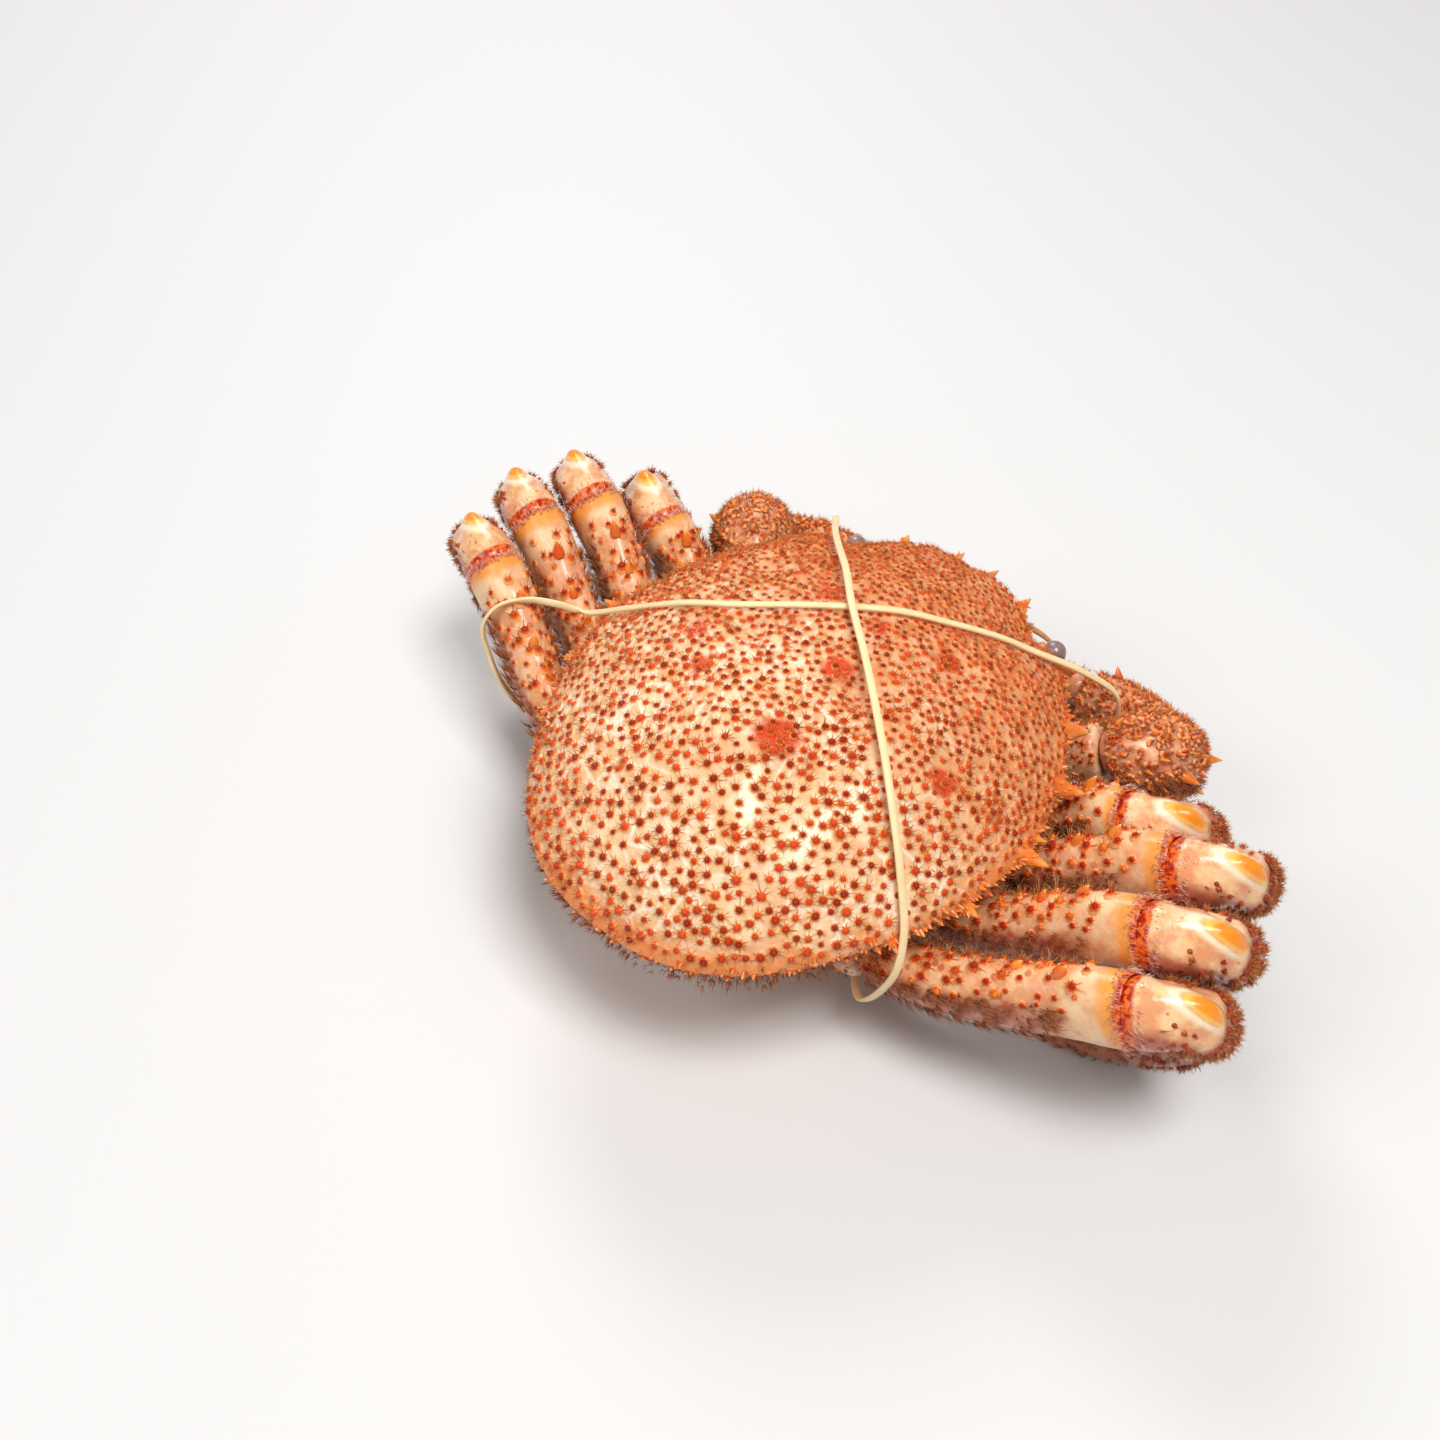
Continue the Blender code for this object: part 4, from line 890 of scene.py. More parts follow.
def granule_colours(look):
    """Orange mound with a red to dark red peak; some stay orange."""
    rise = look.attribute("rise")
    peak = look.mix(look.step(look.attribute("tint"), 0.70, 0.95), (0.38, 0.018, 0.005), (0.86, 0.20, 0.018))
    look.colour = look.mix(look.noise(0.4), (0.80, 0.28, 0.09), (0.90, 0.50, 0.20))
    look.cover(look.step(rise, 0.05, 0.28), (0.80, 0.13, 0.016))
    look.cover(look.step(rise, 0.30, 0.60), peak)


def dark_granule_colours(look):
    """Red-brown all over, darkest at the peak."""
    look.colour = look.mix(look.attribute("tint"), (0.24, 0.022, 0.010), (0.52, 0.10, 0.035))
    look.cover(look.attribute("rise"), (0.20, 0.012, 0.005))


def crimson(look):
    """Colour of the rim round the knee."""
    return look.mix(look.cloud(1.1, 0.40, 0.60), (0.40, 0.012, 0.004), (0.84, 0.16, 0.02))


def merus_colours(look):
    """Cream above, brown-pink at the sides, an orange band and a crimson rim at the knee."""
    mottle = look.cloud(0.34, 0.4, 0.66, 4.0, 0.6)
    climb = look.high + (look.noise(0.2) - 0.5) * 0.7
    knee = look.step(look.share, 0.66, 0.80)
    look.colour = look.mix(mottle, SIDE_BROWN, SIDE_PINK)
    look.cover(look.maths("MAXIMUM", look.step(climb, 0.35, 0.78), knee * 0.8),
               look.mix(mottle, (0.80, 0.35, 0.15), (0.90, 0.54, 0.29)))
    look.cover(look.cloud(0.16, 0.5, 0.7) * 0.55, PINK)
    look.cover(look.step(look.share, 0.76, 0.84) * look.cloud(0.2, 0.36, 0.6) * 0.7, (0.93, 0.66, 0.38))
    look.cover(look.specks(0.42, 0.20, 0.34) * (1 - knee) * 0.7, RED_BROWN)
    place = look.share + (look.noise(0.25, 2.0) - 0.5) * 0.035
    look.cover(look.step(place, 0.90, 0.945) * 0.9, look.mix(look.noise(0.35), ORANGE, (0.92, 0.42, 0.07)))
    look.cover(look.step(place, 0.962, 0.982), crimson(look))


def carpus_colours(look):
    """Peach dome with a white crescent, partly a pale ridge and partly a painted highlight, and an orange knob,
    brown and granular below.
    """
    share, across, high = look.share, look.across, look.high
    wobble = (look.noise(0.22) - 0.5) * 0.5
    look.colour = look.mix(look.cloud(0.20, 0.40, 0.62, 4.0, 0.6), (0.80, 0.34, 0.15), (0.94, 0.60, 0.33))
    look.cover(look.cloud(0.45, 0.52, 0.70, 3.0, 0.6) * 0.7, (0.95, 0.62, 0.24))
    look.cover(look.cloud(0.3, 0.55, 0.70, 3.0, 0.6) * 0.6, (0.80, 0.27, 0.13))
    look.cover(look.specks(0.42, 0.09, 0.16) * 0.65, (0.62, 0.07, 0.012))
    dome = look.colour
    look.colour = look.mix(look.noise(0.5), (0.33, 0.060, 0.032), (0.60, 0.20, 0.115))
    look.cover(look.specks(0.55, 0.20, 0.36) * 0.8, DARK_RED)
    ends = look.step(share + wobble * 0.2, 0.56, 0.68)
    look.cover(look.step(high + wobble, 0.15, 0.62) * (1 - ends), dome)
    away = (((share - KNOB_SHARE) * 5.4) ** 2 + (across * 3.0) ** 2) ** 0.5 + wobble * 0.3
    upper = look.step(high, 0.15, 0.5)
    # The white crescent round the knob: a pale ridge with a painted highlight laid on it, on the upper side only.
    crescent = look.step(away, 0.85, 1.1) * (1 - look.step(away, 1.15, 1.6))
    nearer = 1 - look.step(share, 0.44, 0.60)
    look.cover(crescent * upper * (nearer * 0.7 + 0.2), (1.0, 0.82, 0.56))
    orange = look.mix(look.noise(0.5), (0.88, 0.20, 0.008), (0.94, 0.36, 0.03))
    look.cover((1 - look.step(away, 0.76, 0.96)) * upper,
               look.mix(look.step(away, 0.5, 0.8), orange, (0.95, 0.52, 0.10)))
    look.cover(1 - look.step(share + wobble * 0.08, 0.03, 0.06), crimson(look))


def propodus_colours(look):
    """Maroon-brown and pink, speckled dark red."""
    look.colour = look.mix(look.cloud(0.4, 0.4, 0.64, 4.0, 0.65), (0.30, 0.060, 0.032), (0.55, 0.20, 0.125))
    look.cover(look.cloud(0.25, 0.52, 0.66) * (1 - look.step(look.share, 0.1, 0.7)) * 0.7, (0.80, 0.46, 0.28))
    look.cover(look.specks(0.5, 0.2, 0.34) * 0.7, DARK_RED)


def dactylus_colours(look):
    """Red-brown, running to a dark horn tip."""
    look.colour = look.mix(look.noise(0.5), (0.32, 0.08, 0.04), (0.54, 0.2, 0.1))
    look.cover(look.step(look.share, 0.72, 0.98), (0.06, 0.028, 0.018))


def claw_colours(look):
    """Tan-pink with red mottles above, cream within."""
    mottle = look.cloud(0.36, 0.38, 0.66, 4.0, 0.65)
    look.colour = look.mix(mottle, PEACH, PALE_CREAM)
    look.cover(look.step(look.high + (look.noise(0.2) - 0.5), -0.55, 0.0),
               look.mix(mottle, (0.70, 0.25, 0.11), (0.90, 0.50, 0.27)))
    look.cover(look.cloud(0.22, 0.52, 0.62, 4.0, 0.6) * 0.6, (0.66, 0.10, 0.03))
    look.cover(look.specks(0.55, 0.22, 0.38) * 0.6, (0.42, 0.03, 0.010))


def arm_colours(look):
    """Glossy cream and peach with an orange swelling and red clouds."""
    look.colour = look.mix(look.cloud(0.26, 0.40, 0.62, 4.0, 0.6), (0.78, 0.33, 0.16), (0.94, 0.64, 0.38))
    look.cover(look.cloud(0.35, 0.52, 0.64, 3.0, 0.6) * 0.7, (0.66, 0.11, 0.035))
    away = (((look.share - 0.72) * 5.0) ** 2 + (look.across * 2.2) ** 2) ** 0.5
    look.cover((1 - look.step(away, 0.7, 1.0)) * look.step(look.high, 0.1, 0.5), (0.90, 0.24, 0.016))


def finger_colours(look):
    """Red-brown at the root, dark brown horn towards the tip."""
    look.colour = look.mix(look.noise(0.4), (0.50, 0.14, 0.06), (0.70, 0.32, 0.17))
    look.cover(look.step(look.share, 0.1, 0.45), (0.075, 0.035, 0.022))


def stalk_colours(look):
    """Orange and pink cup round the eye."""
    look.colour = look.mix(look.cloud(0.5, 0.38, 0.62), (0.72, 0.20, 0.06), (0.90, 0.44, 0.20))
    look.cover(look.step(look.share, 0.70, 0.84), (0.84, 0.24, 0.04))


def coxa_colours(look):
    """Pale cream below, tan-pink above, with red clouds and a dark waist."""
    mottle = look.cloud(0.36, 0.4, 0.64, 4.0, 0.6)
    look.colour = look.mix(mottle, (0.62, 0.24, 0.13), (0.86, 0.52, 0.32))
    look.cover(look.step(0.2 - look.high, 0.0, 0.9), look.mix(mottle, (0.84, 0.52, 0.36), (0.93, 0.78, 0.60)))
    waist = 1 - look.step(((look.share - 0.6) ** 2) ** 0.5, 0.015, 0.06)
    look.cover(waist * 0.7, (0.40, 0.11, 0.06))
    look.cover(look.specks(0.6, 0.18, 0.32) * 0.5, (0.62, 0.09, 0.02))


def feeler_colours(look):
    """Ringed amber and brown."""
    look.colour = look.mix(look.noise(1.2, 2.0), (0.50, 0.16, 0.05), (0.82, 0.46, 0.2))


def face_colours(look):
    """Orange-brown and cream round the mouth."""
    look.colour = look.mix(look.cloud(0.3, 0.40, 0.62, 4.0, 0.6), (0.56, 0.16, 0.065), (0.86, 0.46, 0.24))
    look.cover(look.specks(0.7, 0.18, 0.32) * 0.6, (0.50, 0.045, 0.012))
    look.relief(look.noise(1.2), 0.4, 0.25)


def underside_colours(look):
    """Smooth and pale with soft pink clouds and brown seams, tan higher up."""
    look.colour = look.mix(look.cloud(0.12, 0.40, 0.68, 4.0), (0.90, 0.76, 0.60), (0.84, 0.50, 0.36))
    tan = look.mix(look.cloud(0.4, 0.4, 0.6, 4.0, 0.6), (0.44, 0.15, 0.085), (0.70, 0.34, 0.21))
    look.cover(look.step(look.axis("Z") + (look.noise(0.2) - 0.5) * 6.0, 11.0, 19.0), tan)
    look.cover(look.specks(0.3, 0.10, 0.2) * 0.5, (0.60, 0.16, 0.06))
    look.cover(look.attribute("seam") * 0.8, (0.36, 0.12, 0.06))
    look.relief(look.noise(0.9), 0.3, 0.2)


def eye_colours(look):
    """Greyish mauve, finely faceted, darker in clouds."""
    look.colour = look.mix(look.noise(0.35), (0.11, 0.058, 0.058), (0.42, 0.27, 0.24))
    look.relief(look.cells(4.5), 0.35, 0.06)


def rubber_colours(look):
    """Pale amber with soft streaks."""
    look.colour = look.mix(look.noise(0.5), (0.86, 0.60, 0.27), (0.94, 0.76, 0.46))
    look.relief(look.noise(2.2, 2.0), 0.25, 0.08)


# The looks: the material's name, what colours it, then roughness, coat, the coat's roughness, specular level.
HAIR_GLOSS = (0.50, 0.0, 0.03, 0.07)
GRANULE_GLOSS = (0.36, 0.16, 0.12, 0.14)
OTHER_LOOKS = {
    "back": ("back_shell", back_colours, 0.34, 0.4, 0.12, 0.35),
    "wart": ("wart", wart_colours, 0.38, 0.12, 0.12, 0.12),
    "bristle": ("bristle", hair_colours((0.26, 0.020, 0.004), (0.80, 0.38, 0.12)), *HAIR_GLOSS),
    "long_hair": ("long_hair", hair_colours((0.15, 0.036, 0.016), (0.52, 0.22, 0.10)), *HAIR_GLOSS),
    "dark_hair": ("dark_hair", hair_colours((0.10, 0.020, 0.012), (0.34, 0.13, 0.08)), *HAIR_GLOSS),
    # Rim hair: whitish-pink bristles whose near-white tips are partly a painted glint.
    "rim_hair": ("rim_hair", hair_colours((0.62, 0.12, 0.06), (0.97, 0.76, 0.60)), *HAIR_GLOSS),
    "spine": ("spine", spine_colours, 0.32, 0.4, 0.1, 0.3),
    "granule": ("granule", granule_colours, *GRANULE_GLOSS),
    "dark_granule": ("dark_granule", dark_granule_colours, *GRANULE_GLOSS),
    "underside": ("underside_shell", underside_colours, 0.30, 0.4, 0.15),
    "face": ("mouth_frame", face_colours, 0.34, 0.35, 0.12, 0.35),
    "eye": ("eye", eye_colours, 0.28, 0.5, 0.08),
    "rubber": ("band_rubber", rubber_colours, 0.48),
}
# Looks that follow a limb: the material's name, what colours it and its roughness.
LIMB_GLOSS = (0.28, 0.15, 0.32)
LIMB_LOOKS = {
    "merus": ("leg_merus", merus_colours, 0.30),
    "carpus": ("leg_carpus", carpus_colours, 0.22),
    "propodus": ("leg_propodus", propodus_colours, 0.36),
    "dactylus": ("leg_dactylus", dactylus_colours, 0.34),
    "claw": ("claw_shell", claw_colours, 0.36),
    "arm": ("claw_arm", arm_colours, 0.22),
    "finger": ("finger_shell", finger_colours, 0.25),
    "feeler": ("feeler", feeler_colours, 0.4),
    "mouth": ("mouth_plate", claw_colours, 0.36),
    "stalk": ("eye_stalk", stalk_colours, 0.30),
    "coxa": ("coxa", coxa_colours, 0.32),
}


def make_looks():
    """Every material, kept under its short name."""
    for label, (name, colours, *gloss) in OTHER_LOOKS.items():
        look = Look(name, *gloss)
        colours(look)
        LOOKS[label] = look.done()
    for label, (name, colours, roughness) in LIMB_LOOKS.items():
        look = Look(name, roughness, *LIMB_GLOSS)
        lay = look.attribute("lay", "Vector")
        look.share, look.across, look.high = (
            look.node("ShaderNodeSeparateXYZ", None, {0: lay}, axis) for axis in "XYZ")
        look.relief(look.noise(1.4, 3.0, 0.6) + look.noise(0.4, 2.0), 0.4, 0.3)
        colours(look)
        LOOKS[label] = look.done()


# Carapace: its skin, and its flank below the margin as latitude, scale of the plan and drop.
SKIN_SEGMENTS = 160
SKIN_RINGS = 96
SHELL_FLOOR = 27.2
FLANK = ((0.0, 1.0, 0.0), (0.08, 0.985, -1.6), (0.2, 0.93, -4.4), (0.34, 0.86, -7.4), (0.44, 0.80, -8.6))
FLANK_STATIONS, FLANK_SCALES, FLANK_DROPS = zip(*FLANK)
# Warts: their gaps and sizes from the face to the rear, and the box that the darts are thrown at.
WART_GAP_FRONT = 1.08
WART_GAP_REAR = 1.75
WART_SIZE_FRONT = 0.66
WART_SIZE_GAIN = 0.30
WART_EDGE = 0.985
DART_COUNT = 60000
DART_BOX = ((-50, -54), (50, 54))
# Side of the squares that a dart is compared within.
CELL = 2.4
BACK_UNWRAP_SPAN = 125.0
BACK_THIRDS = (("face", -99, -18), ("middle", -18, 14), ("rear", 14, 99))
# A wart and a tooth as they are drawn out: height, radius and sway.
WART = ((-0.08, 1.25, 0), (0.05, 0.96, 0), (0.22, 0.72, 0), (0.48, 0.50, 0), (0.76, 0.27, 0), (0.86, 0, 0))
TOOTH = ((-0.25, 1.12, 0), (0.08, 0.96, 0), (0.30, 0.68, 0), (0.58, 0.40, 0), (0.82, 0.20, 0), (1.0, 0, 0))
UPWARD_AIM = (0.0, -0.3, 1.0)
PLATES_BY_TOOTH = 8
SPINES_BY_TOOTH = 11
MARGIN_SPINES = 170
FRINGE_HAIRS = 1700
# From these heights on, a band runs past the margin's coat and lies on the back.
BAND_NEAR_MARGIN = 34.0
BAND_ON_BACK = 38.0


def make_back():
    """Back shell: a sphere pushed onto the plan and the dome's height."""
    shell, _, turn, latitude, way = ball_points("back_shell", SKIN_SEGMENTS, SKIN_RINGS)
    away = plan_reach(turn)
    upper = latitude >= 0
    lower = np.clip(-latitude, 0, 1)
    inward = 1 - np.clip((lower - FLANK_STATIONS[-1]) / (1 - FLANK_STATIONS[-1]), 0, 1)
    scale = np.where(upper, np.abs(np.sin((1 - latitude) * math.pi / 2)) ** 0.9,
                     np.interp(lower, FLANK_STATIONS, FLANK_SCALES) * inward)
    plan = DOME_CENTRE + way * (away * scale)[:, None]
    edge_y = DOME_CENTRE[1] + way[:, 1] * away * np.minimum(scale, 1.0)
    side = np.maximum(margin_height(edge_y) + np.interp(lower, FLANK_STATIONS, FLANK_DROPS), SHELL_FLOOR)
    set_points(shell, np.column_stack((plan, np.where(upper, dome_height(plan[:, 0], plan[:, 1]), side))))
    dress(shell, "back", "back_shell", "carapace")


def back_unwrap(spots):
    """Place of plan spots on the carapace's own unwrap."""
    return 0.5 + np.asarray(spots)[..., :2] / BACK_UNWRAP_SPAN


def dart_spots(tries, edge):
    """Evenly spread plan spots, closer at the face; gaps are measured along the dome."""
    darts = DARTS.uniform(*DART_BOX, (tries, 2))
    darts = darts[plan_scale(darts[:, 0], darts[:, 1]) < edge]
    heights = dome_height(darts[:, 0], darts[:, 1])
    darts = np.column_stack((darts, heights))
    share = np.clip((darts[:, 1] + 36.0) / 62.0, 0.0, 1.0)
    gaps = WART_GAP_FRONT + (WART_GAP_REAR - WART_GAP_FRONT) * share + DARTS.uniform(-0.15, 0.25, len(darts))
    cells = {}
    kept = []
    for index, dart in enumerate(darts):
        key = (int(dart[0] // CELL), int(dart[1] // CELL))
        near = [spot for a in (-1, 0, 1) for b in (-1, 0, 1) for spot in cells.get((key[0] + a, key[1] + b), ())]
        if near and (((np.array(near) - dart) ** 2).sum(axis=1) < gaps[index] ** 2).any():
            continue
        cells.setdefault(key, []).append(dart)
        kept.append(dart[:2])
    return np.array(kept)


def band_paths():
    """Points along both bands, in millimetres."""
    paths = []
    for route, lift in ((BAND_LONG, BAND_LIFT), (BAND_CROSS, CROSS_BAND_LIFT)):
        spots = [(x, y, float(dome_height(x, y)) + lift if z is None else z) for x, y, z in route]
        paths.append(smooth_closed(spots, BAND_STEPS))
    return paths


def make_back_coat():
    """Warts with rosettes of bristles all over the back."""
    spots = dart_spots(DART_COUNT, WART_EDGE)
    places, outs = dome_frames(spots)
    over = np.concatenate([path[path[:, 2] > BAND_NEAR_MARGIN][:, :2] for path in band_paths()])
    under_band = np.array([(((over - spot) ** 2).sum(axis=1) < 1.0).any() for spot in spots])
    rear = np.clip((spots[:, 1] + 38.0) / 66.0, 0.0, 1.0)
    sizes = (WART_SIZE_FRONT + WART_SIZE_GAIN * rear) * DARTS.uniform(0.72, 1.25, len(spots))
    roots = back_unwrap(spots)
    forward = np.tile((0.0, -1.0, 0.0), (len(spots), 1))
    wart = Stamp(drawn_out(7, WART))
    tall = sizes * np.where(under_band, 0.25, DARTS.uniform(0.85, 1.45, len(spots)))
    dress(stamp_all("back_warts", [wart], places, outs, forward, sizes, roots, tall), "wart", "back_shell")
    rosettes = rosette_stamps((8, 9, 10, 9, 8, 10), 0.95, 0.25, 1.75, 0.08)
    lean = unit(outs + np.array((0.0, -0.22, 0.0)) + DARTS.normal(0, 0.14, (len(spots), 3)))
    for third, low, high in BACK_THIRDS:
        chosen = ~under_band & (spots[:, 1] >= low) & (spots[:, 1] < high)
        dress(stamp_all("back_bristles_" + third, rosettes, places[chosen], lean[chosen], forward[chosen],
                        sizes[chosen], roots[chosen]), "bristle", "back_shell")


def grow_tooth(teeth, tip, radius):
    """A margin tooth with small spines on it and serrated plates beside it."""
    def plant(place, out, size, tall):
        teeth.plant(place, unit(out), UPWARD_AIM, size, back_unwrap(place), tall)

    root = DOME_CENTRE + (tip[:2] - DOME_CENTRE) / plan_scale(tip[0], tip[1]) * 0.965
    base = np.array((root[0], root[1], float(margin_height(root[1])) - 0.2))
    length = np.linalg.norm(tip - base)
    aim = (tip - base) / length
    plant(base, aim, radius * 0.85, length)
    beside = np.cross(aim, (0.0, 0.0, 1.0))
    above = np.cross(beside, aim)
    for _ in range(SPINES_BY_TOOTH):
        climb = draw(0.05, 0.62)
        turn = math.radians(draw(-25, 205))
        way = beside * math.cos(turn) + above * math.sin(turn)
        plant(base + aim * length * climb + way * radius * (0.78 - climb) * 0.85, aim * 0.75 + way,
              draw(0.38, 0.62), draw(0.8, 1.5))
    for index in range(PLATES_BY_TOOTH):
        aside = (index - (PLATES_BY_TOOTH - 1) / 2) * 0.95 + draw(-0.2, 0.2)
        fall = 1.0 - abs(aside) / 4.4
        plant(base + beside * aside + above * draw(-0.5, 0.5), aim + beside * aside * 0.08,
              0.55 + 0.45 * fall, 0.9 + length * 0.55 * fall * draw(0.7, 1.0))


def make_margin():
    """Big teeth, small serrations and a fringe of bristles round the margin."""
    tooth = Stamp(drawn_out(10, TOOTH, closed=True))
    teeth = Coat()
    for tip, radius in TEETH:
        for _, side in SIDES:
            grow_tooth(teeth, np.array(mirrored(tip, side)), radius)
    for index in range(MARGIN_SPINES):
        share = 0.05 + 0.95 * index / MARGIN_SPINES
        for _, side in SIDES:
            turn = side * share * math.pi
            way = way_of(turn)
            root = DOME_CENTRE + way * float(plan_reach(turn)) * draw(0.975, 0.995)
            place = (root[0], root[1], float(margin_height(root[1])) + draw(-1.6, 1.2))
            out = unit(np.array((way[0], way[1], draw(0.0, 0.6))))
            size = draw(0.55, 0.95) * (1.0 if share < 0.7 else 0.75)
            teeth.plant(place, out, UPWARD_AIM, size, back_unwrap(place), size * draw(1.3, 2.1))
    teeth.make("margin_teeth", [tooth], "spine", "back_shell")
    hairs = lock_stamps(5, 4, 2.6, 0.08, 0.4, 0.3)
    turns = DARTS.uniform(-math.pi, math.pi, FRINGE_HAIRS)
    reach = plan_reach(turns) * DARTS.uniform(0.955, 0.99, FRINGE_HAIRS)
    ways = way_of(turns)
    spots = DOME_CENTRE + ways * reach[:, None]
    places = np.column_stack((spots, margin_height(spots[:, 1]) + DARTS.uniform(-4.6, 0.8, FRINGE_HAIRS)))
    outs = unit(np.column_stack((ways, DARTS.uniform(-0.1, 0.5, FRINGE_HAIRS))))
    aims = np.tile((0.0, -1.0, 0.0), (FRINGE_HAIRS, 1))
    dress(stamp_all("margin_fringe", hairs, places, outs, aims, np.full(FRINGE_HAIRS, 0.85), back_unwrap(places)),
          "long_hair", "back_shell")


# Limbs.
def leg_limbs(points):
    """The four segments of a walking leg."""
    side = 1 if points[0][0] > 0 else -1
    base, knee, elbow, wrist, tip = (Vector(point) for point in points)
    heading = knee - base
    level = Vector((heading.x, heading.y, 0.0)).normalized()
    thickness_way = Vector((-level.y, level.x, 0.0)) * side
    knee_way = level * KNEE_DIRECTION[0] + Vector((0.0, 0.0, KNEE_DIRECTION[2]))
    drop = (wrist - elbow).normalized()
    elbow_way = drop - Vector((0, 0, ELBOW_DROP))
    wrist_way = drop - Vector((0, 0, WRIST_DROP))
    sweep = tip - wrist
    tip_way = Vector((sweep.x, sweep.y, 0.0)).normalized() - Vector((0, 0, TIP_DROP))
    return {
        "merus": Limb(base, mirrored(BASE_DIRECTION, side), knee, knee_way, MERUS_SIZES, thickness_way, 0.36, side),
        "carpus": Limb(knee, knee_way, elbow, elbow_way, CARPUS_SIZES, thickness_way, 0.40, side),
        "propodus": Limb(elbow, elbow_way, wrist, wrist_way, PROPODUS_SIZES, thickness_way, 0.3, side),
        "dactylus": Limb(wrist, wrist_way, tip, tip_way, DACTYLUS_SIZES, thickness_way, 0.36, side),
    }


# How each segment is swept: shares of its length and scales of its width.
STATIONS = {
    "merus": ((0.0, 0.90), (0.06, 1.0), (0.2, 1.0), (0.38, 1.0), (0.56, 1.0), (0.72, 0.99), (0.82, 0.98),
              (0.90, 0.98), (0.935, 1.0), (0.965, 1.02), (0.985, 1.0), (0.996, 0.965), (0.985, 0.93),
              (0.95, 0.90)),
    "carpus": ((-0.10, 1.04), (-0.04, 1.09), (0.03, 1.12), (0.12, 1.10), (0.22, 1.06), (0.34, 1.02), (0.46, 1.0),
               (0.58, 1.0), (0.70, 1.0), (0.80, 1.0), (0.88, 1.02), (0.94, 1.01), (0.99, 0.92), (0.965, 0.8),
               (0.90, 0.74)),
    "propodus": ((-0.05, 0.62), (0.0, 0.78), (0.07, 0.92), (0.2, 1.0), (0.4, 1.0), (0.6, 1.0), (0.78, 1.0),
                 (0.90, 1.04), (0.97, 1.0), (0.985, 0.8)),
    "dactylus": ((-0.04, 0.7), (0.02, 0.9), (0.12, 1.0), (0.3, 1.0), (0.5, 1.0), (0.7, 1.0), (0.85, 1.0),
                 (0.95, 1.0), (1.0, 1.0)),
}
# Swellings on each segment: share, degrees round, their spreads, height.
SWELLINGS = {
    "merus": ((0.80, 90, 0.05, 26, 0.7), (0.86, 90, 0.06, 70, 0.35), (0.5, 90, 0.4, 24, 0.35)),
    "carpus": ((KNOB_SHARE, 90, 0.12, 16, 1.5), (0.20, 126, 0.10, 24, -0.5), (0.20, 54, 0.10, 22, -0.5),
               (0.44, 50, 0.14, 16, -0.5), (0.44, 130, 0.14, 16, -0.5), (0.72, 48, 0.16, 24, 0.8),
               (0.72, 132, 0.16, 24, 0.8), (0.66, 90, 0.06, 30, -0.4), (0.82, 90, 0.10, 40, 0.6)),
    "propodus": ((0.12, 90, 0.10, 40, 0.35), (0.5, 90, 0.4, 25, 0.3)),
    "dactylus": (),
}


def merus_coat(put):
    """Rows of granules, two spines, long flank hair and the knee's fringe."""
    for row in (36, 54, 72, 90, 108, 126, 144):
        for index in range(10):
            share = 0.05 + 0.86 * (index + 0.5 * (row % 4) / 2 + draw(-0.35, 0.35)) / 10
            if share > 0.90:
                continue
            degrees = row + draw(-8, 8)
            size = draw(0.7, 1.3) * (1.25 if row in (72, 90, 108) else 1.0) * (1.15 - share * 0.4)
            put("granules", share, degrees, size, size * draw(0.7, 1.05), 0.12)
            put("rosettes", share, degrees, size * 0.95, lean=0.7)
    put("spines", 0.79, 90 + draw(-6, 6), 1.15, draw(2.4, 3.2), 0.7)
    put("spines", 0.62, 90 + draw(-9, 9), 0.95, draw(1.6, 2.4), 0.6)
    for index in range(330):
        edge = draw(-70, 32) if index % 3 else draw(5, 34)
        degrees = RANDOM.choice((edge, 180.0 - edge))
        put("flank_hair", draw(0.03, 0.80), degrees, draw(0.6, 1.1), lean=0.9)
    fringe(put, 120, (0.955, 0.985), (0.6, 1.1), 1.2)


def carpus_coat(put):
    """Hair below, a fringe at the knee, and dark granules off the dome."""
    strew(put, 75, (0.1, 0.95), ((-80, 30), (150, 260)), (0.40, 0.7), ("flank_hair", 1, 1.0),
          order="turn share size")
    fringe(put, 150, (0.02, 0.08), (0.7, 1.15), 1.1)
    for _ in range(70):
        size = draw(0.35, 0.65)
        degrees = RANDOM.choice((1, -1)) * draw(46, 150) + 90
        share = draw(0.2, 0.97)
        put("dark_granules", share, degrees, size, lean=0.1)
        put("rosettes", share, degrees, size * 1.1, lean=0.4)
    strew(put, 90, (0.64, 0.98), (25, 155), (0.35, 0.6), ("dark_granules", 1, 0.1), ("rosettes", 1.2, 0.5),
          order="size share turn")
    strew(put, 60, (0.64, 0.96), (25, 155), (0.6, 1.0), ("short_hair", 1, 0.9))


def propodus_coat(put):
    """Dark granules and long hair all round."""
    strew(put, 150, (0.04, 0.96), (0, 360), (0.5, 0.85), ("dark_granules", 0.8, 0.1), ("rosettes", 0.85, 0.6))
    strew(put, 170, (0.05, 0.95), (0, 360), (0.45, 0.8), ("flank_hair", 1, 1.1))


def dactylus_coat(put):
    """Short hair, none at the tip."""
    strew(put, 110, (0.02, 0.7), (0, 360), (0.6, 0.95), ("short_hair", 1, 0.9))


LEG_COATS = {"merus": merus_coat, "carpus": carpus_coat, "propodus": propodus_coat, "dactylus": dactylus_coat}


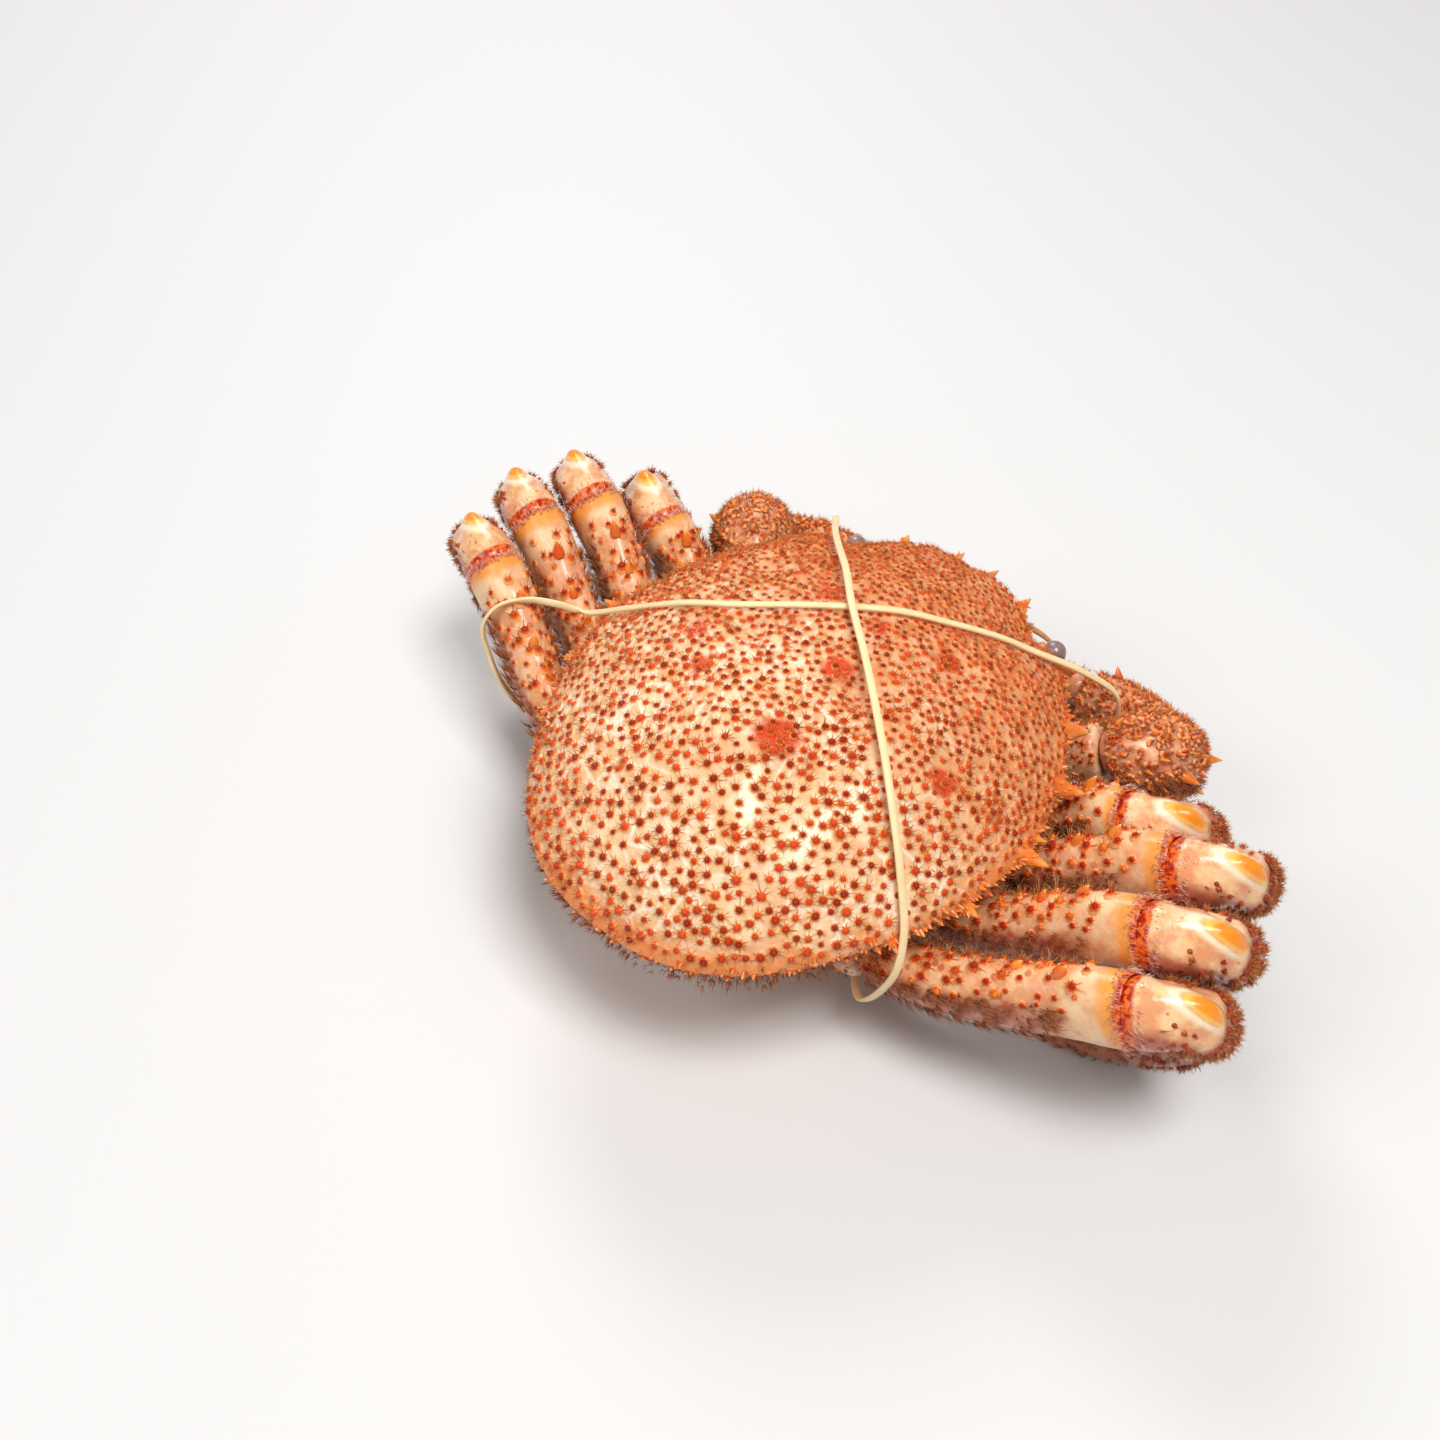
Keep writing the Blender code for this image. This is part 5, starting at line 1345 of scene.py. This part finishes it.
def make_legs():
    """Eight walking legs."""
    for name, points in LEGS.items():
        limbs = leg_limbs(points)
        for part, limb in limbs.items():
            limb.swellings = SWELLINGS[part]
            piece = limb_piece("%s_%s_skin" % (name, part), limb, STATIONS[part], part, "leg_%s_shell" % part,
                               "%s_%s" % (name, part), sides=14 if part == "dactylus" else 18,
                               smoothing=2 if part == "carpus" else 1)
        for vert in piece.data.vertices:
            vert.co.z = max(vert.co.z, 0.0)
        for part, limb in limbs.items():
            LEG_COATS[part](planter(limb, name.split("_")[0] + "_legs", next(CELLS)))


# The same for the claw, then its sizes and its numbers of granules.
CLAW_STATIONS = {
    "arm": ((0.0, 0.85), (0.1, 0.98), (0.35, 1.0), (0.65, 1.0), (0.85, 1.02), (0.97, 1.0), (0.98, 0.8)),
    "wrist": ((-0.06, 0.7), (0.02, 0.85), (0.12, 0.96), (0.28, 1.0), (0.45, 1.0), (0.62, 1.0), (0.8, 1.0),
              (0.92, 1.02), (0.98, 0.9), (0.97, 0.74)),
    "hand": ((-0.03, 0.7), (0.03, 0.86), (0.12, 0.96), (0.28, 1.0), (0.45, 1.0), (0.62, 1.0), (0.8, 1.0),
             (0.93, 0.98), (0.99, 0.86)),
    "finger": ((-0.05, 0.8), (0.03, 0.95), (0.15, 1.0), (0.35, 1.0), (0.55, 1.0), (0.75, 1.0), (0.9, 1.0),
               (1.0, 1.0)),
}
CLAW_SIZES = {"arm": ARM_SIZES, "wrist": WRIST_SIZES, "hand": HAND_SIZES, "finger": FINGER_SIZES}
CLAW_GRANULES = {"arm": 150, "wrist": 430, "hand": 460, "finger": 30}


def claw_coat(put, part):
    """Granules with rosettes, and on the wrist and hand rows of spines and hair."""
    if part == "arm":
        strew(put, 90, (0.05, 0.93), ((-60, 50), (125, 240)), (0.5, 0.9), ("short_hair", 1, 0.8))
    for _ in range(CLAW_GRANULES[part]):
        share = draw(0.04, 0.34 if part == "finger" else 0.96)
        degrees = draw(-50, 230)
        size = draw(0.45, 0.8)
        put("granules", share, degrees, size * 0.85, size * draw(0.8, 1.3), 0.1)
        put("rosettes", share, degrees, size, lean=0.5)
    if part not in ("wrist", "hand"):
        return
    for row in range(8):
        for index in range(8):
            share = 0.08 + 0.84 * (index + 0.5 * (row % 2) + draw(-0.2, 0.2)) / 8
            if share <= 0.94:
                put("spines", share, 22 * row - 22 + draw(-7, 7), draw(0.36, 0.60), draw(0.9, 1.6), 0.45)
    for share, degrees in ((0.55, 20), (0.82, 48), (0.86, 5)):
        put("spines", share, degrees, 1.1, 3.2, 0.6)
    strew(put, 270, (0.05, 0.95), (-90, 270), (0.45, 0.75), ("flank_hair", 1, 0.9))
    for _ in range(130):
        share = draw(0.25, 0.97)
        put("dark_hair", share, draw(-50, 20), draw(0.7, 1.0) * (0.8 + 0.5 * share), lean=0.9)


def make_claws():
    """Both claw legs, spiny and hairy, with dark fingers."""
    for prefix, side in SIDES:
        for part, stations in CLAW_STATIONS.items():
            limb = mirrored_limb(CLAW_POINTS[part], side, CLAW_SIZES[part], None, 0.36, side)
            limb.side *= side
            limb_piece("%s_claw_%s_skin" % (prefix, part), limb, stations, part if part in LOOKS else "claw",
                       "finger_shell" if part == "finger" else "claw_shell", "%s_claw_%s" % (prefix, part))
            claw_coat(planter(limb, "claws", next(CELLS)), part)
        fixed = mirrored_limb(FIXED_FINGER, side, FIXED_FINGER_SIZES, None, 0.36, side)
        limb_piece(prefix + "_claw_fixed_finger_skin", fixed, CLAW_STATIONS["finger"], "finger", "finger_shell")


# Face: sizes are share, half thickness, half depth; stations are share and scale.
STALK_SIZES = ((0.0, 1.9, 1.9), (0.45, 1.6, 1.6), (0.75, 2.5, 2.5), (1.0, 2.4, 2.4))
STALK_STATIONS = ((0.0, 1.0), (0.25, 1.0), (0.5, 1.0), (0.72, 0.98), (0.86, 0.9))
ANTENNA_RINGS = 26
MOUTH_STATIONS = (
    (0.0, 0.8), (0.04, 0.95), (0.15, 1.0), (0.36, 1.02), (0.43, 0.98), (0.455, 0.84), (0.475, 0.84), (0.50, 0.97),
    (0.60, 1.02), (0.78, 1.0), (0.83, 0.94), (0.845, 0.82), (0.86, 0.92), (0.94, 0.95), (1.0, 0.8),
)


def make_face():
    """Eyes on stalks, antennae and mouth plates."""
    for prefix, side in SIDES:
        centre = mirrored(EYE_CENTRE, side)
        root = mirrored(STALK_ROOT, side)
        bpy.ops.mesh.primitive_uv_sphere_add(segments=32, ring_count=20, radius=EYE_RADIUS * MM,
                                             location=world(centre))
        ball = bpy.context.object
        ball.name = prefix + "_eye_ball"
        settle(ball)
        smooth(ball)
        dress(ball, "eye", "eye", prefix + "_eye")
        limb_piece(prefix + "_eye_stalk", Limb(root, centre - root, centre, centre - root, STALK_SIZES),
                   STALK_STATIONS, "stalk", "eye")
        feeler = mirrored_limb(ANTENNA, side, ANTENNA_SIZES)
        shares = [index / (ANTENNA_RINGS - 1) for index in range(ANTENNA_RINGS)]
        stations = [row for share in shares for row in ((share, 1.0), (share + 0.016, 0.86))][:-1]
        limb_piece(prefix + "_antenna_skin", feeler, stations, "feeler", "feeler", prefix + "_antenna",
                   sides=10, smoothing=0)
        plate = mirrored_limb(MOUTH_PLATE, side, MOUTH_SIZES, (1.0, 0.0, 0.0))
        limb_piece(prefix + "_mouth_plate_skin", plate, MOUTH_STATIONS, "mouth", "mouth_plate",
                   prefix + "_mouth_plate", sides=24)
        cell = next(CELLS)
        put = planter(plate, "claws", cell)
        for index in range(260):
            edge = RANDOM.choice((0, 180)) + draw(-35, 35)
            share, degrees = draw(0.03, 0.97), edge if index % 2 else draw(0, 360)
            put("short_hair" if index % 4 else "granules", share, degrees, draw(0.35, 0.7), lean=0.6)
        strew(planter(feeler, "claws", cell), 40, (0.03, 0.3), (0, 360), (0.4, 0.65), ("short_hair", 1, 0.9))


# Outline of a band's section, in half widths and half thicknesses.
BAND_SECTION = np.array(((1, 0.5), (0.84, 1), (0, 1.08), (-0.84, 1), (-1, 0.5), (-1, -0.5), (-0.84, -1), (0, -1),
                         (0.84, -1), (1, -0.5)))
BAND_EASING = BAND_STEPS // 24


def make_bands():
    """Both rubber bands: flat strips swept along their closed routes."""
    for name, path in zip(("rubber_band_long", "rubber_band_cross"), band_paths()):
        along = unit(np.roll(path, -1, axis=0) - np.roll(path, 1, axis=0))
        out = path - path.mean(axis=0)
        on_back = (path[:, 2] > BAND_ON_BACK) & (plan_scale(path[:, 0], path[:, 1]) < 0.97)
        out[on_back] = dome_frames(path[on_back, :2])[1]
        out = unit(out - along * (out * along).sum(axis=1)[:, None])
        out = sum(np.roll(out, shift, axis=0) for shift in range(-BAND_EASING, BAND_EASING + 1))
        out = unit(out - along * (out * along).sum(axis=1)[:, None])
        across = unit(np.cross(along, out))
        spots = (path[:, None] + across[:, None] * BAND_SECTION[:, :1] * BAND_HALF_WIDTH
                 + out[:, None] * BAND_SECTION[:, 1:] * BAND_HALF_THICKNESS)
        dress(swept(name + "_strip", spots, closed=True), "rubber", "band_rubber", name)


# A granule and a spine as they are drawn out: height, radius and sway.
GRANULE = ((-0.45, 1.05, -0.08), (0.02, 0.80, 0), (0.32, 0.58, 0.08), (0.66, 0.28, 0.28), (0.95, 0, 0.55))
SPINE = ((-0.15, 1.0, 0), (0.2, 0.86, 0.03), (0.5, 0.55, 0.12), (0.8, 0.24, 0.3), (1.0, 0, 0.45))
COAT_SLOTS = {"claws": "claw_shell", "flank": "back_shell", "underside": "underside_shell",
              "left_legs": "leg_merus_shell", "right_legs": "leg_merus_shell"}


def make_coats():
    """All the limb coats, as a few joined meshes."""
    granule = [Stamp(drawn_out(7, GRANULE))]
    spine = [Stamp(drawn_out(9, SPINE))]
    short = lock_stamps(4, 5, 1.9, 0.085, 0.5, 0.5)
    flank = lock_stamps(5, 5, 3.8, 0.075, 0.34, 0.35)
    rim = lock_stamps(3, 2, 1.6, 0.08, 0.3, 0.3)
    rosettes = rosette_stamps((6, 7, 8, 6, 7), 0.66, 0.3, 1.9, 0.08)
    kinds = {"granules": (granule, "granule"), "dark_granules": (granule, "dark_granule"),
             "spines": (spine, "spine"), "short_hair": (short, "bristle"), "flank_hair": (flank, "long_hair"),
             "rim_hair": (rim, "rim_hair"), "rosettes": (rosettes, "bristle"), "dark_hair": (flank, "dark_hair")}
    for (kind, group), places in COATS.items():
        places.make("%s_%s" % (group, kind), *kinds[kind], COAT_SLOTS[group])


# Underside: breast shell, leg roots, mouth frame and tail flap.
THORAX = ((0.70, 26.7), (0.67, 23.5), (0.63, 18.0), (0.54, 14.0), (0.40, 12.5), (0.0, 12.3))
THORAX_SEAMS = (-27.0, -14.0, -0.5, 13.0, 27.0)
SEAM_DEPTH = 1.3
COXA_LENGTH = 14.0
COXA_GAP = 0.3
COXA_SIZES = ((0.0, 3.4, 3.8), (0.3, 4.3, 4.8), (0.5, 4.5, 5.0), (0.6, 3.9, 4.4), (0.78, 4.5, 5.1), (1.0, 4.0, 4.7))
MOUTH_FRAME_CENTRE = (0.0, -34.6, 20.1)
MOUTH_FRAME_HALF = (14.2, 7.0, 6.7)
MOUTH_FRAME_SQUARENESS = 0.42
FLAP_POINTS = ((0, 39.6, 25.5), (0, 37.4, 17.0), (0, 31.0, 10.6), (0, 12.0, 10.5), (0, -10.0, 10.7))
FLAP_WIDTHS = (7.5, 9.0, 9.5, 7.5, 3.0)
FLAP_HALF_THICKNESS = 1.1
FLAP_PLATES = 7
FLAP_STEPS = 160
FLAP_SIDES = 24
THORAX_STATIONS = (0.0, 0.12, 0.3, 0.5, 0.68, 1.0)
FLAP_SMOOTHING = 14
FLAP_HAIRS = 260
COXA_HAIRS = 54
MOUTH_FRAME_HAIRS = 330
FLANK_HAIRS = 1900
COXA_STATIONS = [(share, 1.0) for share in (0.0, 0.2, 0.35, 0.5, 0.56, 0.61, 0.68, 0.8, 0.92)] + [(1.0, 0.96)]


def make_thorax():
    """Breast shell: a sphere pressed into a bowl, with a seam between each two legs."""
    shell, ball, turn, latitude, way = ball_points("breast_shell", 192, 120)
    lower = np.clip(-latitude, 0.0, 1.0)
    scale = np.interp(lower, THORAX_STATIONS, [entry[0] for entry in THORAX])
    scale = np.where(latitude > 0, THORAX[0][0] * (1.0 - latitude), scale)
    height = np.interp(lower, THORAX_STATIONS, [entry[1] for entry in THORAX])
    plan = DOME_CENTRE + way * (plan_reach(turn) * scale)[:, None]
    outward = np.abs(plan[:, 0])
    aside = np.clip((outward - 8.0) / 4.0, 0.0, 1.0) * np.clip(-latitude * 5.0, 0.0, 1.0)
    seams = sum(np.exp(-((plan[:, 1] - seam + 0.12 * outward) / 0.9) ** 2) for seam in THORAX_SEAMS)
    seams = np.clip(seams, 0.0, 1.0) * aside
    swell = np.cos(ball[:, 1] * math.pi) * 0.25
    set_points(shell, np.column_stack((plan, height + seams * SEAM_DEPTH - swell * aside)), seams)
    dress(shell, "underside", "underside_shell", "body_underside")


def make_coxae():
    """The short root pieces of the legs and claws, swollen, with a narrow waist."""
    roots = [(name, points[0], BASE_DIRECTION) for name, points in LEGS.items()]
    roots += [(prefix + "_claw", *CLAW_POINTS["arm"][:2]) for prefix, _ in SIDES]
    for name, start, direction in roots:
        side = 1 if name.startswith("left") else -1
        base = mirrored((abs(start[0]), start[1], start[2]), side)
        way = mirrored(direction, side).normalized()
        limb = Limb(base - way * COXA_LENGTH, way, base - way * COXA_GAP, way, COXA_SIZES)
        limb_piece(name + "_coxa", limb, COXA_STATIONS, "coxa", "underside_shell", "body_underside", sides=18)
        put = planter(limb, "underside", next(CELLS))
        for index in range(COXA_HAIRS):
            share, degrees = draw(0.2, 0.97), draw(0, 360)
            size = draw(0.35, 0.6)
            if index % 2:
                put("granules", share, degrees, size, lean=0.1)
            put("short_hair", share, degrees, size * 1.3, lean=0.8)


def make_mouth_frame():
    """Rounded block round the mouth, hollowed in front, with a raised rim at each side."""
    shell, ball = ball_points("mouth_frame", 96, 64)[:2]
    box = np.sign(ball) * np.abs(ball) ** MOUTH_FRAME_SQUARENESS
    box /= np.abs(box).max(axis=0)
    spots = np.array(MOUTH_FRAME_CENTRE) + box * np.array(MOUTH_FRAME_HALF)
    front = np.clip(-ball[:, 1] * 3.0, 0.0, 1.0)
    rim = np.exp(-((np.abs(spots[:, 0]) - 11.6) / 0.9) ** 2)
    hollow = np.exp(-(spots[:, 0] / 10.0) ** 6) * np.exp(-((spots[:, 2] - 19.0) / 6.0) ** 6)
    spots[:, 1] += front * (hollow * 1.6 - rim * 0.7)
    set_points(shell, spots)
    dress(shell, "face", "underside_shell", "body_underside")
    cell = next(CELLS)
    for index in range(MOUTH_FRAME_HAIRS):
        across = RANDOM.choice((1, -1)) * draw(10.8, 14.0)
        height = draw(14.2, 26.4)
        place = (across, -41.5 + max(abs(across) - 12.4, 0.0) * 0.8, height)
        out = Vector((0.25 * across / 14.0, -1.0, -0.1)).normalized()
        root = atlas_root(cell, (across + 14.0) / 28.0, (height - 14.0) * 28.0)
        COATS["short_hair" if index % 3 else "granules", "underside"].plant(
            place, out, (0.0, 0.0, -1.0), draw(0.4, 0.75), root)


def make_flap():
    """Tail flap: plates parted by grooves, folded flat under the body."""
    share = np.linspace(0.0, len(FLAP_POINTS) - 1.0, FLAP_STEPS)
    knots = np.arange(len(FLAP_POINTS))
    columns = [*zip(*FLAP_POINTS), FLAP_WIDTHS]
    rows = np.column_stack([np.interp(share, knots, column) for column in columns])
    for _ in range(FLAP_SMOOTHING):
        rows[1:-1] = (rows[:-2] + 2 * rows[1:-1] + rows[2:]) / 4
    path, widths = rows[:, :3], rows[:, 3]
    along = unit(np.gradient(path, axis=0))
    out = unit(np.cross(along, (1.0, 0.0, 0.0)))
    run = np.concatenate(([0.0], np.cumsum(np.linalg.norm(np.diff(path, axis=0), axis=1))))
    phase = run / run[-1] * FLAP_PLATES
    seam = np.exp(-((phase - np.round(phase)) / 0.075) ** 2)
    turns = np.arange(FLAP_SIDES) * 2 * math.pi / FLAP_SIDES
    across = np.sign(np.cos(turns)) * np.abs(np.cos(turns)) ** 0.6
    up = np.sin(turns) * (1.0 + 0.25 * np.exp(-(across / 0.35) ** 2))
    width = (widths * (1 - 0.045 * seam))[:, None, None]
    thickness = (FLAP_HALF_THICKNESS * (1 - 0.6 * seam))[:, None, None]
    spots = (path[:, None] + np.array((1.0, 0, 0)) * width * across[None, :, None]
             + out[:, None] * thickness * up[None, :, None])
    flap = swept("tail_flap", spots, closed=False)
    set_points(flap, spots.reshape(-1, 3), np.repeat(seam, FLAP_SIDES))
    dress(flap, "underside", "underside_shell", "abdomen_flap")
    cell = next(CELLS)
    for _ in range(FLAP_HAIRS):
        row = RANDOM.randrange(FLAP_STEPS)
        side = RANDOM.choice((1, -1))
        place = path[row] + np.array((side * widths[row] * 0.97, 0, 0))
        COATS["short_hair", "underside"].plant(place, (side * 0.95, 0.0, 0.3), along[row], draw(0.4, 0.7),
                                               atlas_root(cell, row / FLAP_STEPS, 90 + 60 * side))


def make_antennules():
    """The two small folded feelers under the front edge."""
    for prefix, side in SIDES:
        feeler = mirrored_limb(ANTENNULE, side, ANTENNULE_SIZES)
        stations = [(index / 12, 1.0 if index % 2 else 0.85) for index in range(13)]
        limb_piece(prefix + "_antennule", feeler, stations, "feeler", "feeler", sides=10)
        strew(planter(feeler, "flank", next(CELLS)), 26, (0.3, 1.0), (0, 360), (0.35, 0.6), ("short_hair", 1, 0.9))


def make_flank_coat():
    """Granules and hair on the carapace's flank, closest under the face."""
    for index in range(FLANK_HAIRS):
        turn = draw(-math.pi, math.pi) if index % 2 else draw(-0.85, 0.85)
        drop = -draw(0.2, 7.6)
        way = way_of(turn)
        reach = float(plan_reach(turn))
        spot = DOME_CENTRE + way * reach * float(np.interp(drop, FLANK_DROPS[::-1], FLANK_SCALES[::-1]))
        edge = DOME_CENTRE + way * reach
        place = (spot[0], spot[1], float(margin_height(edge[1])) + drop)
        out = Vector((way[0], way[1], -0.45)).normalized()
        root = (0.5 + way[0] * (0.42 - drop * 0.008), 0.5 + way[1] * (0.42 - drop * 0.008))
        size = draw(0.4, 0.7)
        kind = "granules"
        if index % 3:
            kind, size = "short_hair", size * 1.35
            out = (out + Vector((-way[0] * 0.2, -0.5, -0.7))).normalized()
        COATS[kind, "flank"].plant(place, out, (0.0, -0.6, -1.0), size, root)


# Stage: floor, air, and each lamp's place, size and power.
FLOOR_SIZE = 6.0
AIR_COLOUR = (1.0, 0.99, 0.975, 1.0)
AIR_STRENGTH = 0.23
FLOOR_COLOUR = (0.72, 0.71, 0.70, 1.0)
LAMPS = {
    "key_light": ((-0.30, 0.10, 0.85), 0.30, 6.3),
    "side_light": ((0.55, -0.45, 0.60), 0.35, 3.4),
    "rear_light": ((0.25, 0.60, 0.70), 0.40, 2.2),
}


def make_stage():
    """Pale floor, soft lights and the camera."""
    bpy.ops.mesh.primitive_plane_add(size=FLOOR_SIZE, location=(0, 0, 0))
    floor = bpy.context.object
    floor.name = "floor"
    look = Look("floor", 0.6)
    look.colour = FLOOR_COLOUR
    floor.data.materials.append(look.done())
    scene = bpy.context.scene
    scene.world = bpy.data.worlds.new("soft_light")
    scene.world.use_nodes = True
    air = scene.world.node_tree.nodes["Background"].inputs
    air["Color"].default_value = AIR_COLOUR
    air["Strength"].default_value = AIR_STRENGTH
    scene.view_settings.view_transform = "Standard"
    for name, (place, size, power) in LAMPS.items():
        lamp = bpy.data.lights.new(name, "AREA")
        lamp.energy = power
        lamp.size = size
        holder = add_object(name, lamp)
        holder.location = place
        holder.rotation_euler = (-Vector(place)).to_track_quat("-Z", "Y").to_euler()
    level = Vector((-math.sin(CAMERA_YAW), math.cos(CAMERA_YAW), 0.0))
    forward = level * math.cos(CAMERA_PITCH) - Vector((0, 0, math.sin(CAMERA_PITCH)))
    right = Vector((level.y, -level.x, 0.0))
    up = right.cross(forward)
    tilted = right * math.cos(CAMERA_ROLL) + up * math.sin(CAMERA_ROLL)
    upright = up * math.cos(CAMERA_ROLL) - right * math.sin(CAMERA_ROLL)
    lens = bpy.data.cameras.new("camera")
    lens.lens = CAMERA_LENS
    lens.sensor_width = CAMERA_SENSOR
    lens.clip_start = 0.01
    scene.camera = add_object("camera", lens)
    scene.camera.matrix_world = Matrix((tilted, upright, -forward)).transposed().to_4x4()
    scene.camera.location = world(CAMERA_PLACE)


make_looks()
make_stage()
make_back()
make_back_coat()
make_margin()
make_legs()
make_claws()
make_face()
make_thorax()
make_coxae()
make_mouth_frame()
make_flap()
make_antennules()
make_flank_coat()
make_coats()
make_bands()
